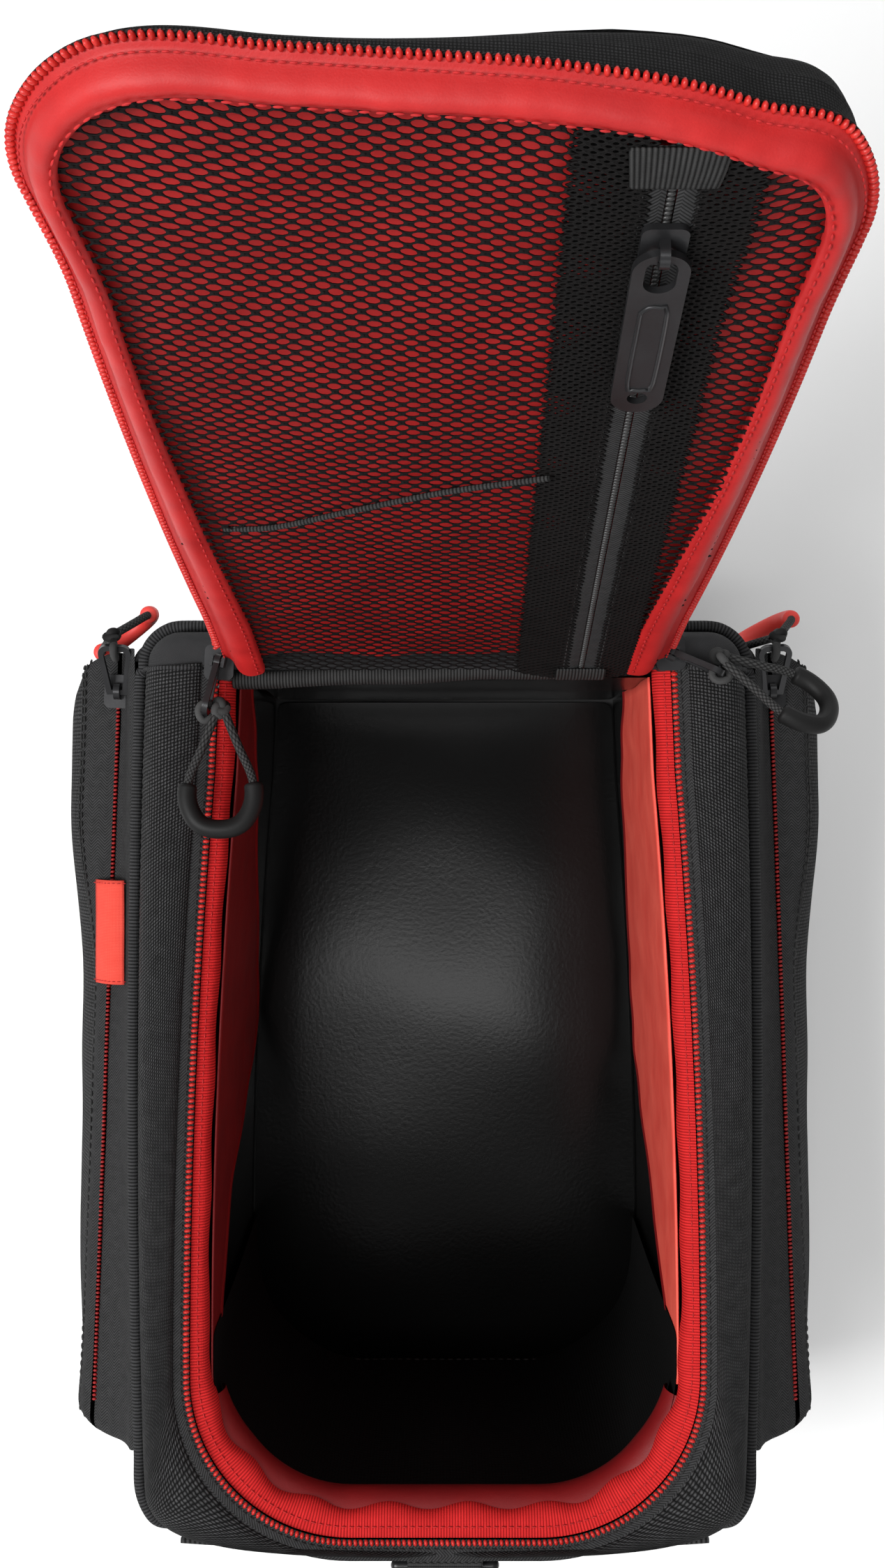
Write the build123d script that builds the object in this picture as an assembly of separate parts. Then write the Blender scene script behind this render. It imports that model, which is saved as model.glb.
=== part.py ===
"""A soft motorcycle luggage bag with a U-shaped zipped lid and two side pockets.

Millimetres, +Z up, +Y towards the lid's hinge, origin at the centre of the base's underside.
The lid is stored open. Every piece of the bag is one solid or group of solids in its own file.
"""

import os
from math import atan2, cos, degrees, pi, radians, sin, sqrt, tan

from build123d import *

# Main box of the bag
RIM_Z = 170.0  # plane of the main zip
RIM_TOP = 174.0  # top of the padded rim
RIM_LOW = 150.0  # seam between the rim and the walls
BODY_END_HALF = 95.5  # half width at the corners
BODY_MID_HALF = 98.5  # half width in the middle
BODY_REAR_Y = 146.0
BODY_CORNER_Y = -146.0  # front corners
BODY_FRONT_Y = -150.0  # middle of the bowed front
FRONT_CORNER_R = 16.0
REAR_CORNER_R = 22.0
WALL = 3.0
BASE_T = 3.0
FRONT_PANEL_Y = -128.0  # the front panel is ahead of this
REAR_PANEL_Y = 118.0  # the rear panel is behind this
PIPING_HALF = 80.0  # the piping stops here on its way across the front and rear

# U-shaped opening: the line where the two halves of the main zip meet
HINGE_Y = 135.0
CORNER_X = 30.0  # centre of the front corner's arc
CORNER_Y = -90.0
CORNER_R = 50.0
SIDE_SLANT = 2.4  # degrees that the sides spread towards the front
COIL_GAP = 0.75  # from the zip line to each coil
COIL_WIDTH = 1.6
COIL_HIGH = 1.2  # half the coil's height
TAPE_HIGH = 0.6  # half the tape's thickness
RIM_INSET = 5.2  # from the zip line to the rim
HINGE_DROP = 3.8  # from the zip's plane to the rim behind the hinge
BINDING_NEAR = 1.6
BINDING_FAR = 5.7
BINDING_LOW = 160.5
BINDING_TOP = 166.6
LINING_T = 1.2
LINING_SPLIT_Y = -84.0  # side linings end here and the front lining begins
LINING_BACK_Y = 130.0
FLOOR_TOP = 8.4

# Lid, described closed and then turned open about the hinge line
LID_OPEN = 109.0  # degrees from closed
LID_INSET = 5.5  # from the zip line to the lid's edge
LID_START = 10.0  # from the hinge line to the lid's panel
LID_ZIP_START = 14.0
LID_TOP = RIM_Z + 8.8
LID_SKIN = 2.0
BAND_T = 2.0
BORDER_WIDTH = 12.0
MESH_Z = RIM_Z - 7.4
MESH_ZIP_X = 41.5
MESH_ZIP_START = -117.8
MESH_ZIP_END = 112.8
MESH_TAPE_HALF = 6.8
MESH_COIL_HALF = 2.6
MESH_COIL_TOP = 2.4  # above the mesh zip's tape
MESH_BAND = (23.0, 56.0)

# Side pockets
POCKET_IN = 98.9
POCKET_OUT = 127.0
POCKET_FRONT = -131.0
POCKET_REAR = 136.0
POCKET_LOW = 20.0
POCKET_TOP = 142.0
POCKET_CORNER_R = 24.0
POCKET_WALL = 2.5
POCKET_ZIP_FRONT = (116.0, -114.0)
POCKET_ZIP_REAR = (107.4, 134.0)
POCKET_TAPE_TOP = POCKET_TOP - 0.8
POCKET_TAPE_T = 1.0
POCKET_COIL_LOW = 2.6  # below the top of the tape
ZIP_GAP_HALF = 0.8  # half the gap between the two sides of a small zip

# Sliders and pulls
SLIDER_LENGTH = 11.0
SLIDER_WIDTH = 9.2
SLIDER_PLATE = 1.4
PLATE_GAP = 0.4  # between a slider's plates and the zip
PIN_R = 0.9
PIN_CLEARANCE = 0.08
PIN_HIGH = 5.8  # pin of a main slider, above the top of the coil
BRIDGE_PIN = 1.7  # pivot of a pull in a slider's bridge, above its plate
BRIDGE_IN = 1.5
BRIDGE_OUT = 2.7
BRIDGE_WIDTH = 2.0
TAB_T = 1.8
TAB_LENGTH = 17.5
TAB_PITCH = 12.0  # degrees that a main pull's tab rises
MAIN_SLIDE_Y = {"left": 135.0, "right": 138.0}
MAIN_YAW = {"left": -9.4, "right": 62.2}  # degrees that the tab turns from the zip line
MAIN_KNOT = {"left": (4.3, -13.6, 4.0), "right": (4.2, -13.0, 6.0)}  # from the slider's pin
MAIN_HANG = {"left": (0.02, -1, 0.14), "right": (0.88, -0.47, 0.0)}  # way that the cord hangs
MAIN_SPREAD = {"left": (1, 0.02, 0), "right": (0.41, 0.57, -0.71)}  # way that its legs spread
POCKET_SLIDE_Y = 127.5
POCKET_TAB_RISE = 30.0
POCKET_KNOT = (1.5, 17.6, 5.3)  # from the pivot of the pocket's pull
POCKET_HANG = (0, 0.12, -1)
POCKET_SPREAD = {"left": (0.78, 0.62, 0), "right": (0.87, 0.48, 0)}
NEAR_BAR = 0.85  # half the bar that turns in a slider's bridge
CORD_D = 2.7
GRIP_D = 6.0
GRIP_HALF = 10.3
GRIP_START = -23.4  # along the cord's loop, from the knot
KNOT_R = 3.2
MESH_SLIDE_Y = -90.0
MESH_PULL_LENGTH = 56.5
MESH_PULL_WIDTH = 11.4
MESH_PULL_T = 1.6

# Front strap
STRAP_WIDTH = 25.0
STRAP_HALF = 85.0
STRAP_T = 2.5
STRAP_TOP = 150.6
TAG_LOW = (-116.0, 31.5, 143.4)
TAG_HIGH = (-106.6, 65.5, 144.4)
RING_BAR = (0.0, -154.6, 156.0)
RING_R = 15.2
RING_WIRE_R = 2.25
RING_TILT = 20.0  # degrees that the ring leans out over the strap


def flip(point):
    """The same point on the other side of the bag."""
    return (-point[0], point[1])


def side_x(offset, y):
    """Half width of the opening at y, with its outline moved outwards by offset."""
    turn = radians(SIDE_SLANT)
    touch_x = CORNER_X + (CORNER_R + offset) * cos(turn)
    touch_y = CORNER_Y + (CORNER_R + offset) * sin(turn)
    return touch_x - (y - touch_y) * tan(turn)


def opening(offset, back_y=HINGE_Y):
    """Plan of the opening, moved outwards by offset and cut off square at back_y."""

    def on_corner(angle):
        reach = CORNER_R + offset
        return (CORNER_X + reach * cos(radians(angle)), CORNER_Y + reach * sin(radians(angle)))

    low, middle, high = on_corner(-90), on_corner((SIDE_SLANT - 90) / 2), on_corner(SIDE_SLANT)
    back = (side_x(offset, back_y), back_y)
    return make_face(
        [
            Line(flip(low), low),
            ThreePointArc(low, middle, high),
            Line(high, back),
            Line(back, flip(back)),
            Line(flip(back), flip(high)),
            ThreePointArc(flip(high), flip(middle), flip(low)),
        ]
    )


def body_plan(inset=0.0):
    """Plan of the main box: bowed sides and front, with rounded corners."""
    end = BODY_END_HALF - inset
    front, rear = BODY_CORNER_Y + inset, BODY_REAR_Y - inset
    right = ThreePointArc((end, front), (BODY_MID_HALF - inset, 0), (end, rear))
    left = ThreePointArc((-end, rear), (inset - BODY_MID_HALF, 0), (-end, front))
    bow = ThreePointArc((-end, front), (0, BODY_FRONT_Y + inset), (end, front))
    plan = make_face([bow, right, Line((end, rear), (-end, rear)), left])
    plan = fillet(plan.vertices().group_by(Axis.Y)[0], FRONT_CORNER_R - inset)
    return fillet(plan.vertices().group_by(Axis.Y)[-1], REAR_CORNER_R - inset)


def plate(plan, low, high):
    """A plan raised into a solid between two heights."""
    return extrude(Pos(0, 0, low) * plan, high - low, dir=(0, 0, 1))


def block(low, high):
    """A box given by its lowest and highest corners."""
    size = [b - a for a, b in zip(low, high)]
    return Pos(*low) * Box(*size, align=(Align.MIN, Align.MIN, Align.MIN))


def right_half():
    return block((0, -400, -400), (400, 400, 900))


def left_half():
    return block((-400, -400, -400), (0, 400, 900))


def unit(vector):
    length = sqrt(sum(v * v for v in vector))
    return tuple(v / length for v in vector)


def main_box():
    """Base, four walls, padded rim and the piping in the rim's seam."""
    parts = {
        "base_panel": plate(body_plan(), 0, BASE_T),
        "base_board": plate(body_plan(WALL + 0.5), BASE_T, BASE_T + 2.5),
    }
    walls = plate(body_plan(), BASE_T, RIM_LOW) - plate(body_plan(WALL), 0, RIM_LOW + 1)
    front = block((-200, -200, 0), (200, FRONT_PANEL_Y, 300))
    rear = block((-200, REAR_PANEL_Y, 0), (200, 200, 300))
    parts["front_panel"] = walls & front
    parts["rear_panel"] = walls & rear
    sides = walls - front - rear
    parts["side_panel_left"] = sides & left_half()
    parts["side_panel_right"] = sides & right_half()
    parts["top_rim"] = top_rim()
    bead = plate(body_plan(-4.4), 151, 155.4) - plate(body_plan(-0.2), 150, 157)
    bead = fillet(bead.edges().group_by(Axis.Z)[-1], 1.6)
    bead -= block((-PIPING_HALF, -200, 140), (PIPING_HALF, 200, 170))
    parts["piping_left"] = bead & left_half()
    parts["piping_right"] = bead & right_half()
    return parts


def top_rim():
    """Padded rim round the opening, rounded outside and low behind the hinge."""
    rim = plate(body_plan(), RIM_LOW, RIM_TOP)
    rim = fillet(rim.edges().group_by(Axis.Z)[-1], 6.0)
    rim -= plate(opening(RIM_INSET, HINGE_Y), RIM_LOW - 1, RIM_TOP + 1)
    hinge_half = side_x(RIM_INSET, HINGE_Y)
    return rim - block((-hinge_half, 120, RIM_Z - HINGE_DROP), (hinge_half, 160, RIM_TOP + 1))


def linings():
    """Cloth walls that hang from the opening's binding, and the floor liner."""
    outer = -BINDING_FAR - 0.3
    wall = opening(outer, LINING_BACK_Y) - opening(outer - LINING_T, LINING_BACK_Y + 1)
    ring = plate(wall, FLOOR_TOP + 0.2, BINDING_LOW - 0.2)
    front = block((-200, -200, 0), (200, LINING_SPLIT_Y, 300))
    sides = ring - front
    floor = plate(opening(-BINDING_FAR, LINING_BACK_Y), BASE_T + 2.7, FLOOR_TOP)
    back_half = side_x(outer - LINING_T, LINING_BACK_Y) - 0.3
    back = block((-back_half, LINING_BACK_Y - LINING_T, FLOOR_TOP), (back_half, LINING_BACK_Y, RIM_Z - 6))
    return {
        "front_lining": ring & front,
        "side_lining_left": sides & left_half(),
        "side_lining_right": sides & right_half(),
        "floor_liner": floor + back,
    }


def main_zip():
    """The body's half of the main zip, the red binding under it and the hinge binding."""
    near, far = COIL_GAP, COIL_GAP + COIL_WIDTH
    coil = opening(far) - opening(near, HINGE_Y + 1)
    tape = opening(RIM_INSET - 0.2) - opening(far + 0.05, HINGE_Y + 1)
    binding = opening(-BINDING_NEAR, 130) - opening(-BINDING_FAR, 131)
    hinge_half = side_x(0, HINGE_Y) - 8
    return {
        "main_coil": plate(coil, RIM_Z - COIL_HIGH, RIM_Z + COIL_HIGH),
        "main_zip_tape": plate(tape, RIM_Z - TAPE_HIGH, RIM_Z + TAPE_HIGH),
        "opening_binding": plate(binding, BINDING_LOW, BINDING_TOP),
        "hinge_binding": block((-hinge_half, 130.2, 165.5), (hinge_half, 134.7, 168.5)),
    }


def lid_plate(offset, low, high, start=LID_START):
    """A layer of the closed lid: the opening's outline moved outwards by offset."""
    return plate(opening(offset, HINGE_Y - start), low, high)


def lid_ring(outer, inner, low, high, start=LID_START, end_width=0.0):
    """A band that follows the closed lid's edge, closed at the hinge if it has an end width."""
    hollow_back = HINGE_Y - start - end_width if end_width else HINGE_Y - start + 1
    return lid_plate(outer, low, high, start) - plate(opening(inner, hollow_back), low - 1, high + 1)


def lid():
    """The lid's layers, modelled closed, from the outer skin down to the mesh pocket."""
    skin_low = LID_TOP - LID_SKIN
    band_low = RIM_Z + TAPE_HIGH + 0.2
    near, far = -COIL_GAP, -COIL_GAP - COIL_WIDTH
    inner = -LID_INSET - BAND_T
    border_out = -BINDING_FAR - 0.5
    border_in = border_out - BORDER_WIDTH
    border = lid_ring(border_out, border_in, MESH_Z + 1.2, RIM_Z - 0.8, LID_START, BORDER_WIDTH)
    mesh = lid_plate(border_out - 3, MESH_Z, MESH_Z + 1, LID_START + 3)
    slot_half = MESH_TAPE_HALF + 0.2
    slot = block(
        (MESH_ZIP_X - slot_half, MESH_ZIP_START - 0.2, 0), (MESH_ZIP_X + slot_half, MESH_ZIP_END + 0.2, 300)
    )
    band_x = block((MESH_BAND[0], -200, 0), (MESH_BAND[1], 200, 300))
    band = lid_plate(border_out - 3, MESH_Z - 0.7, MESH_Z - 0.1, LID_START + 3) & band_x
    parts = {
        "lid_outer_panel": lid_plate(-LID_INSET, skin_low, LID_TOP),
        "lid_edge_band": lid_ring(-LID_INSET, inner, band_low, skin_low, LID_START, BAND_T),
        "lid_foam": lid_plate(inner - 0.2, band_low + 1.2, skin_low - 0.1, LID_START + BAND_T + 1),
        "lid_lining": lid_plate(-LID_INSET - 2, RIM_Z - 0.6, RIM_Z + 0.4, LID_START),
        "lid_border": border,
        "lid_mesh": mesh - slot,
        "lid_mesh_band": band - slot,
        "lid_coil": lid_ring(near, far, RIM_Z - COIL_HIGH, RIM_Z + COIL_HIGH, LID_ZIP_START),
        "lid_zip_tape": lid_ring(
            far - 0.05, -LID_INSET - 1.8, RIM_Z - TAPE_HIGH, RIM_Z + TAPE_HIGH, LID_ZIP_START
        ),
    }
    return parts | mesh_zip()


def mesh_zip():
    """Tape and coil of the mesh pocket's zip, each split down the middle but for its ends."""

    def bar(half, inset, low, high):
        low_corner = (MESH_ZIP_X - half, MESH_ZIP_START + inset, low)
        return block(low_corner, (MESH_ZIP_X + half, MESH_ZIP_END - inset, high))

    gap = bar(ZIP_GAP_HALF, 1.8, 0, 300)
    return {
        "mesh_zip_tape": bar(MESH_TAPE_HALF, 0, MESH_Z, MESH_Z + 0.8) - gap,
        "mesh_coil": bar(MESH_COIL_HALF, 2.8, MESH_Z + 0.85, MESH_Z + MESH_COIL_TOP) - bar(ZIP_GAP_HALF, 0, 0, 300),
    }


def opened(shape):
    """Turns a piece of the closed lid to its stored, open place."""
    about = Pos(0, HINGE_Y, RIM_Z)
    return about * Rot(X=-LID_OPEN) * about.inverse() * shape


def pocket_zip_x(y):
    """Distance of the pocket's zip from the middle of the bag at y."""
    slope = (POCKET_ZIP_FRONT[0] - POCKET_ZIP_REAR[0]) / (POCKET_ZIP_REAR[1] - POCKET_ZIP_FRONT[1])
    return POCKET_ZIP_REAR[0] + (POCKET_ZIP_REAR[1] - y) * slope


def along_pocket(half_width, low, high, start, end):
    """A bar that follows the right pocket's zip line."""
    ends = [(pocket_zip_x(y) + d, y) for y, d in
            ((start, -half_width), (start, half_width), (end, half_width), (end, -half_width))]
    return plate(make_face(Polyline(*ends, close=True)), low, high)


def right_pocket():
    """Padded outer shell with a zip along its top; the bag's side wall closes its inside."""
    start, end = POCKET_ZIP_FRONT[1], POCKET_ZIP_REAR[1]
    outer = block((POCKET_IN, POCKET_FRONT, POCKET_LOW), (POCKET_OUT, POCKET_REAR, POCKET_TOP))
    outer = fillet(outer.edges().filter_by(Axis.Z).group_by(Axis.X)[-1], POCKET_CORNER_R)
    outer = fillet(outer.edges().group_by(Axis.Z)[-1].sort_by(Axis.X)[1:], 8.0)
    inner = block(
        (POCKET_IN - 1, POCKET_FRONT + POCKET_WALL, POCKET_LOW + POCKET_WALL),
        (POCKET_OUT - POCKET_WALL, POCKET_REAR - POCKET_WALL, POCKET_TOP - POCKET_WALL),
    )
    inner = fillet(inner.edges().filter_by(Axis.Z).group_by(Axis.X)[-1], POCKET_CORNER_R - POCKET_WALL)
    inner = fillet(inner.edges().group_by(Axis.Z)[-1].sort_by(Axis.X)[1:], 6.0)
    slot = along_pocket(5.0, POCKET_TOP - 9, POCKET_TOP + 5, start, end)
    tape_top, tape_low = POCKET_TAPE_TOP, POCKET_TAPE_TOP - POCKET_TAPE_T
    gap = along_pocket(ZIP_GAP_HALF, 0, 300, start + 1, end - 1)
    tape = along_pocket(4.9, tape_low, tape_top, start + 0.1, end - 0.1) - gap
    coil = along_pocket(2.6, tape_top - POCKET_COIL_LOW, tape_low - 0.05, start + 2, end - 2) - gap
    return {"pocket": outer - inner - slot, "pocket_zip_tape": tape, "pocket_coil": coil}


def pockets():
    parts = {}
    for name, solid in right_pocket().items():
        parts[f"{name}_right"] = solid
        parts[f"{name}_left"] = mirror(solid, about=Plane.YZ)
    return parts


def slider(zip_low, zip_top):
    """A zip slider about its own centre: two plates and the post between the coils.
    zip_low and zip_top are the lowest and highest faces of the zip that it runs on."""
    half_w, half_l = SLIDER_WIDTH / 2, SLIDER_LENGTH / 2
    over, under = zip_top + PLATE_GAP, zip_low - PLATE_GAP
    upper = block((-half_w, -half_l, over), (half_w, half_l, over + SLIDER_PLATE))
    lower = block((-half_w, -half_l, under - SLIDER_PLATE), (half_w, half_l, under))
    upper = fillet(upper.edges().filter_by(Axis.Z), 2.0)
    lower = fillet(lower.edges().filter_by(Axis.Z), 2.0)
    post = block((-0.4, 0.5, under - 0.2), (0.4, 4.0, over + 0.2))
    return upper + lower + post


def pinned_lugs(plate_top, pin_z, turn):
    """Two lugs on a slider's plate with the pin of the pull between them."""
    lug = block((1.3, -1.6, plate_top - 0.2), (2.3, 1.6, pin_z + 1.5))
    pin = Pos(0, 0, pin_z) * Rot(Y=90) * Cylinder(PIN_R, 4.6)
    return Rot(Z=turn) * (lug + mirror(lug, about=Plane.YZ) + pin)


def bridge(plate_top):
    """Arch on a slider's plate that a pull's near bar passes under and turns in."""
    pivot = plate_top + BRIDGE_PIN
    ring = Rot(Y=90) * Cylinder(BRIDGE_OUT, BRIDGE_WIDTH)
    foot = block((-BRIDGE_WIDTH / 2, -BRIDGE_OUT, -BRIDGE_PIN - 0.2), (BRIDGE_WIDTH / 2, BRIDGE_OUT, 0))
    return Pos(0, 0, pivot) * (ring + foot - Rot(Y=90) * Cylinder(BRIDGE_IN, BRIDGE_WIDTH + 1)) & block(
        (-5, -5, plate_top - 0.2), (5, 5, pivot + BRIDGE_OUT)
    )


def tab_outline(start, end, near, far, corner):
    """A plate that widens from half width near, at start, to half width far, at end."""
    face = make_face(Polyline((start, -near), (end, -far), (end, far), (start, near), close=True))
    return fillet(face.vertices().group_by(Axis.X)[-1], corner)


def pinned_tab():
    """A main pull's tab on edge: a loop across X with an eye for the slider's pin, along -Y."""
    face = tab_outline(1.0, TAB_LENGTH, 2.2, 5.4, 3.0) + Circle(2.4)
    face -= tab_outline(4.4, TAB_LENGTH - 1.8, 1.1, 3.5, 1.5)
    face -= Circle(PIN_R + PIN_CLEARANCE)
    edgewise = Plane((0, 0, 0), x_dir=(0, -1, 0), z_dir=(1, 0, 0)).location
    return edgewise * extrude(face, TAB_T / 2, both=True)


def bridged_tab():
    """A pocket pull's tab lying flat along +Y: a loop whose near bar turns in the bridge."""
    face = tab_outline(-NEAR_BAR, TAB_LENGTH - NEAR_BAR, 3.4, 5.8, 3.0)
    face -= tab_outline(NEAR_BAR, TAB_LENGTH - NEAR_BAR - 1.8, 1.8, 3.9, 1.5)
    return Rot(Z=90) * extrude(face, TAB_T / 2, both=True)


# Route of a pull's cord in its own plane: out of the knot, down one leg, round the grip and back
PULL_ROUTE = [
    (-1.6, -2.5),
    (-5.4, -12.6),
    (-10.3, -22.6),
    (-10.3, -31.0),
    (-5.6, -38.0),
    (5.6, -38.0),
    (10.3, -31.0),
    (10.3, -22.6),
    (5.4, -12.6),
    (1.6, -2.5),
]


def corner_radii(points):
    """The largest arc that fits each corner of a route."""
    radii = []
    for before, here, after in zip(points, points[1:], points[2:]):
        first = Vector(*here) - Vector(*before)
        second = Vector(*after) - Vector(*here)
        half_turn = radians(first.get_angle(second) / 2)
        radii.append(0.45 * min(first.length, second.length) / tan(half_turn))
    return radii


def tube(points, diameter):
    """A round tube of straight runs joined by tangent arcs."""
    points = [(x, y, 0) for x, y in points]
    path = FilletPolyline(*points, radius=corner_radii(points))
    start = Plane(origin=path @ 0, z_dir=path % 0)
    solid = sweep(start * Circle(diameter / 2), path=path)
    wanted = pi * (diameter / 2) ** 2 * path.length
    print("tube", diameter, "length", round(path.length, 1), "volume ratio", round(solid.volume / wanted, 4))
    return solid


def pull_loop():
    """A cord loop with its knot and its moulded U grip, hanging along -Y from the knot."""
    print("cord corner radii", [round(r, 1) for r in corner_radii([(x, y, 0) for x, y in PULL_ROUTE])])
    grip_route = [(-GRIP_HALF, GRIP_START)] + PULL_ROUTE[3:7] + [(GRIP_HALF, GRIP_START)]
    return {
        "cord": tube(PULL_ROUTE, CORD_D),
        "grip": tube(grip_route, GRIP_D),
        "knot": Sphere(KNOT_R),
    }


def loop_place(origin, along, across):
    """Where a pull loop lies: its knot, the way it hangs and the way its two legs spread."""
    along, across = Vector(*unit(along)), Vector(*unit(across))
    across = (across - along * across.dot(along)).normalized()
    return Plane(origin=origin, x_dir=across, z_dir=across.cross(along * -1)).location


def main_pulls():
    """The two sliders of the main zip, parked at the hinge, each with its tab, cord and grip."""
    parts = {}
    loop = pull_loop()
    zip_low, zip_top = RIM_Z - COIL_HIGH, RIM_Z + COIL_HIGH
    plate_top = zip_top + PLATE_GAP + SLIDER_PLATE
    pin_z = zip_top + PIN_HIGH
    for side, sign in (("left", -1), ("right", 1)):
        slide_y, yaw = MAIN_SLIDE_Y[side], MAIN_YAW[side]
        place = Pos(sign * side_x(0, slide_y), slide_y, 0) * Rot(Z=sign * SIDE_SLANT)
        heading = place * Rot(Z=yaw)
        body = slider(zip_low, zip_top) + pinned_lugs(plate_top, pin_z, yaw)
        parts[f"main_slider_{side}"] = place * body
        pin = heading * Pos(0, 0, pin_z)
        parts[f"main_tab_{side}"] = pin * Rot(X=-TAB_PITCH) * pinned_tab()
        where = loop_place((pin * Pos(*MAIN_KNOT[side])).position, MAIN_HANG[side], MAIN_SPREAD[side])
        for name, solid in loop.items():
            parts[f"main_{name}_{side}"] = where * solid
    return parts


def pocket_pulls():
    """The two pocket sliders, parked at the rear, with pulls that hang behind the pockets."""
    parts = {}
    loop = pull_loop()
    plate_top = POCKET_TAPE_TOP + PLATE_GAP + SLIDER_PLATE
    body = slider(POCKET_TAPE_TOP - POCKET_COIL_LOW, POCKET_TAPE_TOP) + bridge(plate_top)
    run = POCKET_ZIP_REAR[1] - POCKET_ZIP_FRONT[1]
    slant = degrees(atan2(POCKET_ZIP_FRONT[0] - POCKET_ZIP_REAR[0], run))
    for side, sign in (("left", -1), ("right", 1)):
        turned = Pos(sign * pocket_zip_x(POCKET_SLIDE_Y), POCKET_SLIDE_Y, 0) * Rot(Z=sign * slant)
        pivot = turned * Pos(0, 0, plate_top + BRIDGE_PIN)
        parts[f"pocket_slider_{side}"] = turned * body
        parts[f"pocket_tab_{side}"] = pivot * Rot(X=POCKET_TAB_RISE) * bridged_tab()
        out, back, up = POCKET_KNOT
        knot = (pivot * Pos(sign * out, back, up)).position
        where = loop_place(knot, POCKET_HANG, POCKET_SPREAD[side])
        for name, solid in loop.items():
            parts[f"pocket_{name}_{side}"] = where * solid
    return parts


def mesh_pull():
    """Slider and long flat pull of the mesh pocket's zip, modelled with the lid closed."""
    zip_low, zip_top = MESH_Z, MESH_Z + MESH_COIL_TOP
    plate_top = -zip_low + PLATE_GAP + SLIDER_PLATE
    body = slider(-zip_top, -zip_low) + bridge(plate_top)
    place = Pos(MESH_ZIP_X, MESH_SLIDE_Y, 0)
    plan = Pos(MESH_PULL_LENGTH / 2 - NEAR_BAR, 0) * SlotOverall(MESH_PULL_LENGTH, MESH_PULL_WIDTH)
    plan -= Pos(NEAR_BAR + 5.2, 0) * SlotOverall(10.4, 6.4)
    plan -= Pos(MESH_PULL_LENGTH - 6.5, 0) * Circle(2.2)
    pull = Rot(Z=90) * extrude(plan, MESH_PULL_T / 2, both=True)
    return {
        "mesh_slider": place * Rot(Y=180) * body,
        "mesh_pull": place * Pos(0, 0, -plate_top - BRIDGE_PIN) * pull,
    }


def front_strap():
    """Doubled webbing across the front, just under the rim, and a little proud in the middle."""
    inner_end, inner_middle = BODY_CORNER_Y - 1.2, BODY_FRONT_Y - 1.4
    outer_end, outer_middle = inner_end - STRAP_T, inner_middle - STRAP_T
    outer = ThreePointArc((-STRAP_HALF, outer_end), (0, outer_middle), (STRAP_HALF, outer_end))
    inner = ThreePointArc((STRAP_HALF, inner_end), (0, inner_middle), (-STRAP_HALF, inner_end))
    right = Line((STRAP_HALF, inner_end - STRAP_T), (STRAP_HALF, inner_end))
    left = Line((-STRAP_HALF, inner_end), (-STRAP_HALF, inner_end - STRAP_T))
    return plate(make_face([outer, right, inner, left]), STRAP_TOP - STRAP_WIDTH, STRAP_TOP)


def front_ring():
    """Plastic D-ring that hangs from a webbing tab over the middle of the front strap."""
    bend = Rot(X=-90) * revolve(Plane.XZ * Pos(RING_R, 0) * Circle(RING_WIRE_R), Axis.Z, 180)
    bar = Rot(Y=90) * Cylinder(RING_WIRE_R, 2 * RING_R)
    corner = Pos(RING_R, 0, 0) * Sphere(RING_WIRE_R)
    ring = bar + bend + corner + mirror(corner, about=Plane.YZ)
    return Pos(*RING_BAR) * Rot(X=-RING_TILT) * ring


def ring_tab():
    """Webbing fold that holds the D-ring's bar, sewn on the front edge."""
    _, bar_y, bar_z = RING_BAR
    half, wrap = STRAP_WIDTH / 2 - 0.8, RING_WIRE_R + 1.5
    fold = Pos(0, bar_y, bar_z) * Rot(Y=90) * Cylinder(wrap, 2 * half)
    web = block((-half, bar_y, bar_z - wrap), (half, BODY_FRONT_Y - 0.05, bar_z + wrap))
    return fold + web - Pos(0, bar_y, bar_z) * Rot(Y=90) * Cylinder(RING_WIRE_R + 0.08, STRAP_WIDTH + 2)


def trim():
    """Small sewn pieces: the blank side tag, the front strap and the D-ring on its tab."""
    return {
        "side_tag": block(TAG_LOW, TAG_HIGH),
        "front_strap": front_strap(),
        "ring_tab": ring_tab(),
        "front_ring": front_ring(),
    }


def main():
    os.makedirs("parts", exist_ok=True)
    parts = {}
    parts.update(main_box())
    parts.update(linings())
    parts.update(main_zip())
    parts.update({name: opened(solid) for name, solid in {**lid(), **mesh_pull()}.items()})
    parts.update(pockets())
    parts.update(main_pulls())
    parts.update(pocket_pulls())
    parts.update(trim())
    for name, solid in parts.items():
        export_step(solid, f"parts/{name}.step")
    print(len(parts), "parts")


main()
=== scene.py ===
import math
from functools import lru_cache

import bpy
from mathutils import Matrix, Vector, noise


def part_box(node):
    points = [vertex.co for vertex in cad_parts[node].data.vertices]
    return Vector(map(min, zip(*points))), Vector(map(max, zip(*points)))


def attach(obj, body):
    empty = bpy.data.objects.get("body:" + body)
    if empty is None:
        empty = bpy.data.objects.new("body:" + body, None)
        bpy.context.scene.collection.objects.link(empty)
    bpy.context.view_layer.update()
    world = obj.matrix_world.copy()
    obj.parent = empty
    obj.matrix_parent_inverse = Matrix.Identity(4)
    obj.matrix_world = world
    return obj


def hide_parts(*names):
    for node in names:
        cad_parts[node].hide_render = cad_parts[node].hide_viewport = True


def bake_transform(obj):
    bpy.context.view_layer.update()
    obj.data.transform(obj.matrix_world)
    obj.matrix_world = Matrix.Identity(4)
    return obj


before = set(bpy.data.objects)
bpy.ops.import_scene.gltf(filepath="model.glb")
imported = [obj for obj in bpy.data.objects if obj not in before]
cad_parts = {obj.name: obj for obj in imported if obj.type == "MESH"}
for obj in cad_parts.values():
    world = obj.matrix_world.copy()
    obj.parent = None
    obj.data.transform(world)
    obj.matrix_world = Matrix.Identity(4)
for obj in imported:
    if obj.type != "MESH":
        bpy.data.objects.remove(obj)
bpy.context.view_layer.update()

MM = 0.001  # the lengths below are millimetres, and meshes are made in metres
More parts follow.
